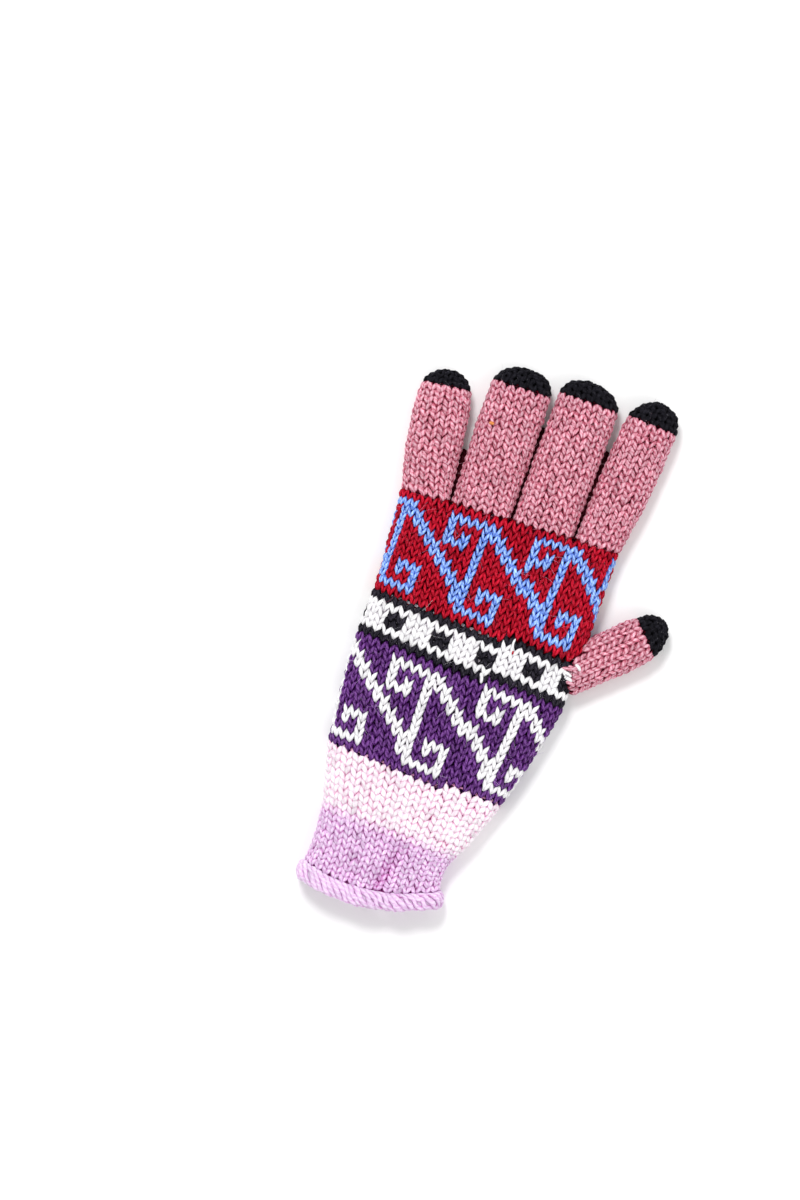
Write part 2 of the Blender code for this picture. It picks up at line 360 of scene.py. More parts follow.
def loop_area(loop: np.ndarray) -> float:
    """Works out a loop's signed area across the tube.

    Args:
        loop: Points in the tube's frame.

    Returns:
        The area in x and z, above zero where it runs counter-clockwise.
    """
    x, z = loop[:, 0], loop[:, 2]
    return float((x * np.roll(z, -1) - np.roll(x, -1) * z).sum() / 2)


def hull(points: np.ndarray) -> np.ndarray:
    """Finds the convex hull across the tube.

    Args:
        points: Points in the tube's frame.

    Returns:
        The points on the hull, in order.
    """
    order = sorted(range(len(points)), key=lambda k: (points[k, 0], points[k, 2]))

    def half(indices: Sequence[int]) -> list[int]:
        """Walks along one side of the hull."""
        chain: list[int] = []
        for k in indices:
            while len(chain) > 1:
                a, b, c = points[chain[-2]], points[chain[-1]], points[k]
                if (b[0] - a[0]) * (c[2] - a[2]) - (b[2] - a[2]) * (c[0] - a[0]) > 0:
                    break
                chain.pop()
            chain.append(k)
        return chain[:-1]

    return points[half(order) + half(order[::-1])]


def smooth_ring(grid: np.ndarray, passes: int) -> np.ndarray:
    """Evens a grid of points around the tube.

    Args:
        grid: Levels by places around by 3.
        passes: How often each point moves towards its neighbours.

    Returns:
        The evened grid.
    """
    for _ in range(passes):
        grid = grid / 2 + (np.roll(grid, 1, axis=1) + np.roll(grid, -1, axis=1)) / 4
    return grid


def smooth_length(grid: np.ndarray, passes: int) -> np.ndarray:
    """Evens a grid of points along the tube and keeps its ends.

    Args:
        grid: Levels by places around by 3.
        passes: How often each point moves towards its neighbours.

    Returns:
        The evened grid.
    """
    for _ in range(passes):
        inner = grid[1:-1] / 2 + (grid[:-2] + grid[2:]) / 4
        grid = np.concatenate([grid[:1], inner, grid[-1:]])
    return grid


def ring_lengths(grid: np.ndarray) -> np.ndarray:
    """Measures each round of a grid.

    Args:
        grid: Levels by places around by 3.

    Returns:
        The length around at each level.
    """
    return np.linalg.norm(np.roll(grid, -1, axis=1) - grid, axis=2).sum(axis=1)


def grid_normals(grid: np.ndarray) -> np.ndarray:
    """Works out the outward directions of a grid.

    Args:
        grid: Levels by places around by 3.

    Returns:
        Unit directions, as many as points.
    """
    around = np.roll(grid, -1, axis=1) - np.roll(grid, 1, axis=1)
    normals = np.cross(around, np.gradient(grid, axis=0))
    outward = grid - grid.mean(axis=1, keepdims=True)
    return unit(-normals if (normals * outward).sum() < 0 else normals)


def mirrored(loop: np.ndarray, centre: float) -> np.ndarray:
    """Closes a round that has a hole on its right with the mirror image of its left.

    Args:
        loop: The broken round.
        centre: The x that it is symmetrical about.

    Returns:
        The whole outside.
    """
    left = loop[loop[:, 0] <= centre]
    return hull(np.concatenate([left, left * (-1, 1, 1) + (2 * centre, 0, 0)]))


@dataclass(frozen=True)
class Round:
    """One cut across a tube.

    Args:
        y: Its place along the tube.
        middle: The x of its middle.
        whole: Whether it goes all the way around.
        loop: Its outer loop.
    """

    y: float
    middle: float
    whole: bool
    loop: np.ndarray


@dataclass(frozen=True)
class Cutting:
    """Where a tube is cut, and which cuts count as rounds.

    Args:
        margin: Share of the tube left uncut at an open end.
        pole_stop: Share of a tip at which its last cut lies.
        pole_rim: Share of a tip in which its open rim lies.
        solid: Share of a tip beyond which a cut has no inside.
        hollow: Least area of the inside, as a share of the outside.
        full: Least area of a round that is kept, as a share of the largest.
    """

    margin: float = 0.0023
    pole_stop: float = 0.985
    pole_rim: float = 0.3
    solid: float = 0.5
    hollow: float = 0.2
    full: float = 0.55


CUTTING = Cutting()


def cut_rounds(
    local: np.ndarray, triangles: np.ndarray, steps: int, pole: bool = False, whole_only: bool = False
) -> list[Round]:
    """Cuts a node into rounds between its two ends.

    Args:
        local: The node's points in the tube's frame.
        triangles: Its triangles.
        steps: How many cuts.
        pole: Whether its far end closes to a point.
        whole_only: Whether rounds that aren't closed are left out.

    Returns:
        The rounds, from the low end on.
    """
    x, y = local[:, 0], local[:, 1]
    first = None if whole_only else rim_line(local, triangles, -1, CUTTING.pole_rim if pole else 1.0)
    last = None if pole else rim_line(local, triangles, 1, 1.0)
    start = np.polyval(first, x) if first is not None else np.full_like(x, y.min())
    end = np.polyval(last, x) if last is not None else np.full_like(x, y.max())
    span = (CUTTING.pole_stop if pole else 1.0 - CUTTING.margin) - CUTTING.margin
    rounds = []
    for k in range(steps):
        level = CUTTING.margin + span * k / (steps - 1)
        if pole:
            level = CUTTING.margin + span * math.sin(math.pi / 2 * k / (steps - 1))
        loops = slice_loops(local, triangles, (y - start) / (end - start), level)
        loops.sort(key=lambda loop: -abs(loop_area(loop)))
        areas = [abs(loop_area(loop)) for loop in loops]
        whole = len(loops) > 1 or (pole and level > CUTTING.solid)
        if not loops or (whole_only and (not whole or areas[1] < CUTTING.hollow * areas[0])):
            continue
        outer = loops[0]
        middle = (outer[:, 0].min() + outer[:, 0].max()) / 2
        rounds.append(Round(float(outer[:, 1].mean()), float(middle), whole, outer))
    if whole_only:
        widest = max(abs(loop_area(cut.loop)) for cut in rounds)
        rounds = [cut for cut in rounds if abs(loop_area(cut.loop)) > CUTTING.full * widest]
    return rounds


def whole_middles(rounds: Sequence[Round]) -> np.ndarray:
    """Lists the middles of the rounds that go all the way around.

    Args:
        rounds: The rounds.

    Returns:
        The y and x of each.
    """
    return np.array([[cut.y, cut.middle] for cut in rounds if cut.whole]).reshape(-1, 2)


class TubeForm:
    """The smooth outside of one hollow CAD node, which stitches are laid on.

    Args:
        node: The node's name.
        placement: The tube's frame.
        anchor: Where each round starts.
        steps: How many cuts are taken along it.
        pole: Whether its far end closes to a point.
        root: How far it is run on straight below its first whole round, in metres.
        middles: For a tube with a hole in its side, the y and x of whole rounds near by.
    """

    AROUND = 192
    PAD = 3
    EVENING = 0.0013
    LENGTH_PASSES = 5

    def __init__(
        self,
        node: str,
        placement: Placement,
        anchor: Anchor,
        steps: int = 18,
        pole: bool = False,
        root: float = 0.0,
        middles: Optional[np.ndarray] = None,
    ) -> None:
        """Reads the node and works out its smooth outside."""
        self.node = node
        self.placement = placement
        self.anchor = anchor
        self.pole = pole
        points, triangles = joined_mesh(node)
        rounds = cut_rounds(placement.to_local(points), triangles, steps, pole, root > 0)
        self.middles = whole_middles(rounds)
        middles = self.middles if middles is None else middles
        order = np.argsort(middles[:, 0])
        rings = []
        for cut in rounds:
            loop = cut.loop
            if not cut.whole:
                loop = mirrored(loop, float(np.interp(cut.y, middles[order, 0], middles[order, 1])))
            rings.append(self._resampled(loop))
        grid = np.array(rings)
        if root > 0:
            spacing = float(np.diff(grid[:, :, 1].mean(axis=1)).mean())
            below = np.arange(math.ceil(root / spacing), 0, -1) * spacing
            straight = np.repeat(grid[:1], len(below), axis=0)
            straight[:, :, 1] -= below[:, None]
            grid = np.concatenate([straight, grid])
        passes = 2 * (self.EVENING * self.AROUND / ring_lengths(grid).max()) ** 2
        grid = smooth_ring(grid, max(int(round(passes)), 1))
        self.grid = smooth_length(self._padded(grid), self.LENGTH_PASSES)
        self.normals = grid_normals(self.grid)
        hops = np.linalg.norm(np.diff(self.grid, axis=0), axis=2).mean(axis=1)
        reached = np.concatenate([[0.0], np.cumsum(hops)])
        self.reached = reached - reached[self.PAD]
        self.length = float(self.reached[-1 if pole else -1 - self.PAD])
        self.around = ring_lengths(self.grid)

    def _resampled(self, loop: np.ndarray) -> np.ndarray:
        """Spaces a round's points evenly from the anchor on, to the right over the top.

        Args:
            loop: The round's points.

        Returns:
            AROUND points.
        """
        if loop_area(loop) > 0:
            loop = loop[::-1]
        x, z = loop[:, 0], loop[:, 2]
        middle = (z.min() + z.max()) / 2
        place = self.anchor.x if self.anchor.x is not None else (x.min() + x.max()) / 2
        after = np.roll(x, -1)
        level = (z + np.roll(z, -1)) / 2
        on_side = level > middle if self.anchor.top else level < middle
        hits = np.nonzero(on_side & ((x - place) * (after - place) <= 0) & (x != after))[0]
        if not len(hits):
            raise ValueError(f"{self.node}: no start for a round at x {place:.4f}")
        k = int(hits[0])
        share = (place - x[k]) / (after[k] - x[k])
        start = loop[k] + (np.roll(loop, -1, axis=0)[k] - loop[k]) * share
        path = np.concatenate([[start], np.roll(loop, -k - 1, axis=0), [start]])
        reached = path_lengths(path[:, [0, 2]])
        wanted = np.arange(self.AROUND) / self.AROUND * reached[-1]
        return np.stack([np.interp(wanted, reached, path[:, c]) for c in range(3)], axis=1)

    def _padded(self, grid: np.ndarray) -> np.ndarray:
        """Runs the grid on straight beyond its open ends.

        Args:
            grid: Levels by places around by 3.

        Returns:
            The longer grid.
        """
        step = (grid[2] - grid[0]) / 2
        below = [grid[0] - step * k for k in range(self.PAD, 0, -1)]
        parts = [np.array(below), grid]
        if not self.pole:
            step = (grid[-1] - grid[-3]) / 2
            parts.append(np.array([grid[-1] + step * k for k in range(1, self.PAD + 1)]))
        return np.concatenate(parts)

    def surface(self, share: np.ndarray, distance: np.ndarray) -> tuple[np.ndarray, np.ndarray]:
        """Finds places on the outside.

        Args:
            share: How far around from the anchor, 0 to 1, to the right over the top.
            distance: How far along from the start, in metres.

        Returns:
            The points and the outward directions, in the part.
        """
        level = np.interp(distance, self.reached, np.arange(len(self.reached)))
        low = np.clip(np.floor(level).astype(int), 0, len(self.reached) - 2)
        up = (level - low)[:, None]
        place = (share % 1.0) * self.AROUND
        left = np.floor(place).astype(int) % self.AROUND
        right = (left + 1) % self.AROUND
        over = (place - np.floor(place))[:, None]

        def blend(grid: np.ndarray) -> np.ndarray:
            """Mixes the four corners of each place's cell."""
            lower = grid[low, left] * (1 - over) + grid[low, right] * over
            upper = grid[low + 1, left] * (1 - over) + grid[low + 1, right] * over
            return lower * (1 - up) + upper * up

        points = self.placement.to_part(blend(self.grid))
        return points, unit(blend(self.normals) @ self.placement.axes())

    def round_length(self, distance: float) -> float:
        """Measures the round at a distance along.

        Args:
            distance: How far along from the start, in metres.

        Returns:
            The length around.
        """
        return float(np.interp(distance, self.reached, self.around))

    def holds(self, points: np.ndarray, margin: float) -> np.ndarray:
        """Tests which points lie inside the tube.

        Args:
            points: Points of the part.
            margin: How far inside they have to be, in metres.

        Returns:
            True for each point inside.
        """
        local = self.placement.to_local(points)
        rounds_y = self.grid[:, :, 1].mean(axis=1)
        level = np.interp(local[:, 1], rounds_y, np.arange(len(rounds_y)))
        inside = (local[:, 1] > rounds_y[0]) & (local[:, 1] < rounds_y[-1])
        for k in np.nonzero(inside)[0]:
            ring = self.grid[int(round(level[k]))]
            centre = ring.mean(axis=0)
            x, z = ring[:, 0], ring[:, 2]
            px, pz = local[k, 0], local[k, 2]
            away = math.hypot(px - centre[0], pz - centre[2])
            stretch = (away + margin) / max(away, SHORTEST)
            px = centre[0] + (px - centre[0]) * stretch
            pz = centre[2] + (pz - centre[2]) * stretch
            x2, z2 = np.roll(x, -1), np.roll(z, -1)
            spans = (z > pz) != (z2 > pz)
            cross = x[spans] + (pz - z[spans]) / (z2[spans] - z[spans]) * (x2[spans] - x[spans])
            inside[k] = bool((cross > px).sum() % 2)
        return inside


def sweep(
    centres: np.ndarray, normals: np.ndarray, wide: np.ndarray, tall: np.ndarray, sides: int, closed: bool
) -> np.ndarray:
    """Runs an oval cross-section along a path.

    Args:
        centres: The path's points.
        normals: The direction that tall is measured in, at each point.
        wide: Half the width beside the path, at each point.
        tall: Half the height above it, at each point.
        sides: Corners of the cross-section.
        closed: Whether the path ends where it starts.

    Returns:
        The corners, path points by sides by 3.
    """
    if closed:
        ahead = np.roll(centres, -1, axis=0) - np.roll(centres, 1, axis=0)
    else:
        ahead = np.gradient(centres, axis=0)
    ahead = unit(ahead)
    beside = unit(np.cross(normals, ahead))
    above = np.cross(ahead, beside)
    angles = np.arange(sides) / sides * 2 * math.pi
    return (
        centres[:, None, :]
        + beside[:, None, :] * (np.cos(angles)[None, :] * wide[:, None])[:, :, None]
        + above[:, None, :] * (np.sin(angles)[None, :] * tall[:, None])[:, :, None]
    )


def colour_rows(colours: np.ndarray, out: float, count: int) -> np.ndarray:
    """Makes the colour rows of a yarn or a sheet that looks equally far out everywhere.

    Args:
        colours: Its tint, painted shade and painted highlight colours, one row or one a point.
        out: How far out, from the painted shade to the painted highlight, 0 to 1.
        count: How many points it has.

    Returns:
        Ten columns for each point.
    """
    rows = np.broadcast_to(colours, (count, COLOUR_COLUMNS - 1))
    return np.column_stack([rows, np.full(count, out)])


def wavering(rng: np.random.Generator, walk: np.ndarray, knots: int) -> np.ndarray:
    """Makes a value that wavers along a path.

    Args:
        rng: Where the draws come from.
        walk: The share of the path at each point.
        knots: How many draws lie along it.

    Returns:
        The value at each point.
    """
    return np.interp(walk * knots, np.arange(knots + 1), rng.standard_normal(knots + 1))


def corner_uvs(u0: np.ndarray, u1: np.ndarray, v0: np.ndarray, v1: np.ndarray) -> np.ndarray:
    """Lists the yarn coordinates of quads' corners.

    Args:
        u0: The first u of each quad.
        u1: Its second u.
        v0: Its first v.
        v1: Its second v.

    Returns:
        Quads by 4 by 2.
    """
    corners = [np.stack(pair, 2) for pair in ((u0, v0), (u1, v0), (u1, v1), (u0, v1))]
    return np.stack(corners, axis=2).reshape(-1, 4, 2)


class MeshParts:
    """Collects tubes and sheets that become one mesh with yarn colours and yarn coordinates."""

    def __init__(self) -> None:
        """Starts empty."""
        self.points: list[np.ndarray] = []
        self.colours: list[np.ndarray] = []
        self.quads: list[np.ndarray] = []
        self.quad_uvs: list[np.ndarray] = []
        self.quad_slots: list[np.ndarray] = []
        self.triangles: list[np.ndarray] = []
        self.triangle_uvs: list[np.ndarray] = []
        self.count = 0

    def add_tube(
        self, corners: np.ndarray, colours: np.ndarray, reached: np.ndarray, closed: bool
    ) -> None:
        """Adds a yarn.

        Args:
            corners: Path points by sides by 3, from sweep.
            colours: Each path point's tint, painted shade and painted highlight colour and how far out it
                lies, in ten columns.
            reached: How far along the yarn each path point lies.
            closed: Whether its end joins its start.
        """
        rings, sides = corners.shape[:2]
        base = self.count
        self.points.append(corners.reshape(-1, 3))
        self.colours.append(np.repeat(colours, sides, axis=0))
        self.count += rings * sides
        first = np.arange(rings if closed else rings - 1)
        second = (first + 1) % rings
        k = np.arange(sides)[None, :]
        after = (k + 1) % sides
        low, high = first[:, None] * sides, second[:, None] * sides
        quads = np.stack([low + k, low + after, high + after, high + k], axis=2).reshape(-1, 4)
        self.quads.append(quads + base)
        gap = reached[-1] - reached[-2]
        ends = np.concatenate([reached[1:], [reached[-1] + gap]])[: len(first)]
        u0 = np.broadcast_to(k / sides, (len(first), sides))
        v0 = np.broadcast_to(reached[first][:, None], u0.shape)
        v1 = np.broadcast_to(ends[:, None], u0.shape)
        self.quad_uvs.append(corner_uvs(u0, u0 + 1 / sides, v0, v1))
        self.quad_slots.append(np.zeros(len(quads), np.int32))
        if not closed:
            fan = np.array([[0, j, j + 1] for j in range(1, sides - 1)])
            last = (rings - 1) * sides
            self.triangles.append(fan[:, ::-1] + base)
            self.triangles.append(fan + base + last)
            for v in (reached[0], reached[-1]):
                self.triangle_uvs.append(np.tile(np.array([[[0.5, v]]]), (len(fan), 3, 1)))

    def add_sheet(self, grid: np.ndarray, colours: np.ndarray, keep: Optional[np.ndarray] = None) -> None:
        """Adds a tube-shaped sheet behind the yarn.

        Args:
            grid: Levels by places around by 3.
            colours: For each grid point its colours and depth, as in add_tube.
            keep: False for grid cells that are left out.
        """
        levels, places = grid.shape[:2]
        base = self.count
        self.points.append(grid.reshape(-1, 3))
        self.colours.append(colours.reshape(-1, COLOUR_COLUMNS))
        self.count += levels * places
        row = np.arange(levels - 1)[:, None]
        k = np.arange(places)[None, :]
        after = (k + 1) % places
        low, high = row * places, (row + 1) * places
        quads = np.stack([low + k, low + after, high + after, high + k], axis=2).reshape(-1, 4)
        u0 = np.broadcast_to(k / places, (levels - 1, places))
        v0 = np.broadcast_to(row / levels, (levels - 1, places))
        uvs = corner_uvs(u0, u0 + 1 / places, v0, v0 + 1 / levels)
        if keep is not None:
            quads, uvs = quads[keep.reshape(-1)], uvs[keep.reshape(-1)]
        self.quads.append(quads + base)
        self.quad_uvs.append(uvs)
        self.quad_slots.append(np.ones(len(quads), np.int32))

    def build(self, name: str, materials: Sequence[bpy.types.Material]) -> bpy.types.Object:
        """Makes the mesh object.

        Args:
            name: Its name.
            materials: The yarn's material, and that of the sheet behind it.

        Returns:
            The object, in place.
        """
        quads = np.concatenate(self.quads)
        slots = np.concatenate(self.quad_slots)
        triangles = np.concatenate(self.triangles) if self.triangles else np.zeros((0, 3), int)
        mesh = bpy.data.meshes.new(name)
        mesh.vertices.add(self.count)
        points = np.concatenate(self.points)
        points[:, 2] = np.maximum(points[:, 2], 0.0)
        mesh.vertices.foreach_set("co", points.astype(np.float32).reshape(-1))
        corners = np.concatenate([quads.reshape(-1), triangles.reshape(-1)]).astype(np.int32)
        mesh.loops.add(len(corners))
        mesh.loops.foreach_set("vertex_index", corners)
        totals = np.concatenate([np.full(len(quads), 4), np.full(len(triangles), 3)]).astype(np.int32)
        starts = np.concatenate([[0], np.cumsum(totals)[:-1]]).astype(np.int32)
        mesh.polygons.add(len(totals))
        mesh.polygons.foreach_set("loop_start", starts)
        slots = np.concatenate([slots, np.zeros(len(triangles), np.int32)]).astype(np.int32)
        mesh.polygons.foreach_set("material_index", slots)
        mesh.polygons.foreach_set("use_smooth", np.ones(len(totals), bool))
        mesh.update(calc_edges=True)
        uv_layer = mesh.uv_layers.new(name=YARN_UV)
        uvs = [np.concatenate(self.quad_uvs).reshape(-1, 2)]
        if self.triangle_uvs:
            uvs.append(np.concatenate(self.triangle_uvs).reshape(-1, 2))
        uv_layer.data.foreach_set("uv", np.concatenate(uvs).astype(np.float32).reshape(-1))
        table = np.concatenate(self.colours)
        # The painted shade and the painted highlight get attributes of their own; each alpha holds how far
        # out a point lies
        for column, label in ((0, YARN_COLOUR), (3, YARN_SHADE), (6, YARN_PAINTED_HIGHLIGHT)):
            attribute = mesh.color_attributes.new(name=label, type="FLOAT_COLOR", domain="POINT")
            rgba = np.concatenate([table[:, column : column + 3], table[:, 9:10]], axis=1)
            attribute.data.foreach_set("color", rgba.astype(np.float32).reshape(-1))
        mesh.validate()
        for material in materials:
            mesh.materials.append(material)
        obj = bpy.data.objects.new(name, mesh)
        bpy.context.scene.collection.objects.link(obj)
        return obj


class YarnWork:
    """A piece made of yarn, and what it is tied to in the frame.

    Args:
        name: The piece's name.
        slot: The record's material slot; not used.
        node: The CAD node that it takes the place of, if any.
    """

    def __init__(self, name: str, slot: str, node: Optional[str] = None) -> None:
        """Starts with an empty mesh."""
        self.name = name
        self.slot = slot
        self.node = node
        self.parts = MeshParts()

    def finish(self, materials: Sequence[bpy.types.Material]) -> bpy.types.Object:
        """Makes the piece and ties it to the frame.

        Args:
            materials: The yarn's material, and that of a sheet behind it.

        Returns:
            The piece.
        """
        piece = self.parts.build(self.name, materials)
        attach(piece, BODY)
        if self.node is not None:
            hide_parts(self.node)
        LOG.info("%s: %d faces", self.name, len(piece.data.polygons))
        return piece


@dataclass(frozen=True)
class LoopPoint:
    """One point on the left half of a stitch's loop, from its foot to its head.

    Args:
        x: Place across, as a share of a stitch's width.
        y: Place along, as a share of a round's height.
        depth: How far out from the yarn's resting depth, as a share of the yarn's height.
        plump: The yarn's thickness there, as a share.
    """

    x: float
    y: float
    depth: float
    plump: float


LOOP = (
    LoopPoint(-0.50, -0.82, -1.10, 0.66),
    LoopPoint(-0.29, -0.84, -1.00, 0.64),
    LoopPoint(-0.10, -0.72, -0.66, 0.62),
    LoopPoint(-0.08, -0.50, -0.24, 0.86),
    LoopPoint(-0.245, 0.00, 0.08, 1.20),
    LoopPoint(-0.41, 0.50, -0.28, 0.90),
    LoopPoint(-0.42, 0.72, -0.74, 0.64),
    LoopPoint(-0.23, 0.84, -1.02, 0.64),
    LoopPoint(0.00, 0.82, -1.10, 0.66),
)


class StitchShape:
    """One stitch's loop of yarn, worked out once and repeated over every band.

    Args:
        width: A stitch's width in metres.
        height: A round's height in metres.
        thickness: The yarn's height off the fabric in metres.
        rings: Path points in a stitch.
    """

    KNOT_STEPS = 12
    LEGS_AT = (0.27, 0.73)
    LEG_WIDTH = 0.13

    def __init__(self, width: float, height: float, thickness: float, rings: int) -> None:
        """Joins the loop's points by a smooth curve and spaces its path points evenly."""
        half = np.array([[p.x, p.y, p.depth, p.plump] for p in LOOP])
        knots = np.concatenate([half, half[:-1][::-1] * (-1, 1, 1, 1)])
        before, after = knots[-2] - (1, 0, 0, 0), knots[1] + (1, 0, 0, 0)
        knots = np.concatenate([[before], knots, [after]])
        t = np.linspace(0, 1, self.KNOT_STEPS, endpoint=False)[:, None]
        pieces = []
        for a, b, c, d in zip(knots[:-3], knots[1:-2], knots[2:-1], knots[3:]):
            bend, turn = 2 * a - 5 * b + 4 * c - d, 3 * b - a - 3 * c + d
            pieces.append(0.5 * (2 * b + (c - a) * t + bend * t**2 + turn * t**3))
        curve = np.concatenate(pieces + [knots[-2:-1]])
        reached = path_lengths(curve[:, :3] * np.array([width, height, thickness]))
        self.length = float(reached[-1])
        self.reached = np.arange(rings) / rings * self.length
        columns = (np.interp(self.reached, reached, curve[:, c]) for c in range(4))
        self.x, self.y, self.depth, self.plump = columns
        share = self.reached / self.length
        self.legs = [np.exp(-(((share - at) / self.LEG_WIDTH) ** 2)) for at in self.LEGS_AT]


@dataclass(frozen=True)
class Gauge:
    """How a band is knit.

    Args:
        around: Stitches in a round.
        rounds: Rounds in the band.
        flow: How one round follows the other.
        flat_start: How many first rounds level off, so that the band starts on its line.
        flat_end: How many last rounds level off, so that the band ends on its line.
        start: How far after the tube's start the band starts, in metres.
        stop: How far after the tube's end the band ends, in metres.
        drift: How many stitches the middle of the upper left half strays to the left.
    """

    around: int
    rounds: int
    flow: Flow = Flow.CLOSED
    flat_start: float = 0.0
    flat_end: float = 0.0
    start: float = 0.0
    stop: float = 0.0
    drift: float = 0.0


@dataclass(frozen=True)
class YarnSize:
    """The yarn as it lies in the fabric.

    Args:
        wide_share: Its width in a stitch, as a share of the stitch's width.
        tall: Its thickness off the fabric, in metres.
        sink: How far its outside stays below the solid's outside, in metres.
        back: How deep the fabric's back lies, as a share of the thickness.
        rings: Path points in a stitch.
        sides: Corners of its cross-section.
    """

    wide_share: float = 0.41
    tall: float = 0.00155
    sink: float = 0.0001
    back: float = 1.35
    rings: int = 16
    sides: int = 6


@dataclass(frozen=True)
class Crease:
    """A narrow lengthwise crease in the upper side of a band.

    Args:
        x: Its place across at its low end, in metres.
        y: Its low end along the glove, in metres.
        reach: How far it runs from there, in metres.
        lean: How far it moves across on the way, in metres.
        width: Its width, in metres.
        depth: Its depth at its low end, in metres.
        upper: How far up a place has to look to be on the upper side.
    """

    x: float
    y: float
    reach: float
    lean: float
    width: float
    depth: float
    upper: float = 0.2

    def drop(self, points: np.ndarray, normals: np.ndarray) -> np.ndarray:
        """Works out how deep the crease presses places of the surface down.

        Args:
            points: Points of the part.
            normals: Their outward directions.

        Returns:
            The depth at each, in metres.
        """
        along = np.clip((points[:, 1] - self.y) / self.reach, 0.0, 1.0)
        across = (points[:, 0] - self.x - self.lean * along) / self.width
        return self.depth * (1 - along**2) * np.exp(-(across**2)) * (normals[:, 2] > self.upper)


Chart = Callable[[int, int], Yarn]
Shade = Callable[[np.ndarray, np.ndarray], np.ndarray]
Test = Callable[[np.ndarray], np.ndarray]


@dataclass(frozen=True)
class Unevenness:
    """How far hand knitting strays from an even grid.

    Args:
        across: Shift across, as a share of a stitch.
        along: Shift along, as a share of a round.
        out: Shift in and out, in metres.
        plump: Difference in thickness, as a share.
        tone: Difference in lightness between the legs of a stitch, as a share.
    """

    across: float = 0.045
    along: float = 0.08
    out: float = 0.00016
    plump: float = 0.10
    tone: float = 0.09


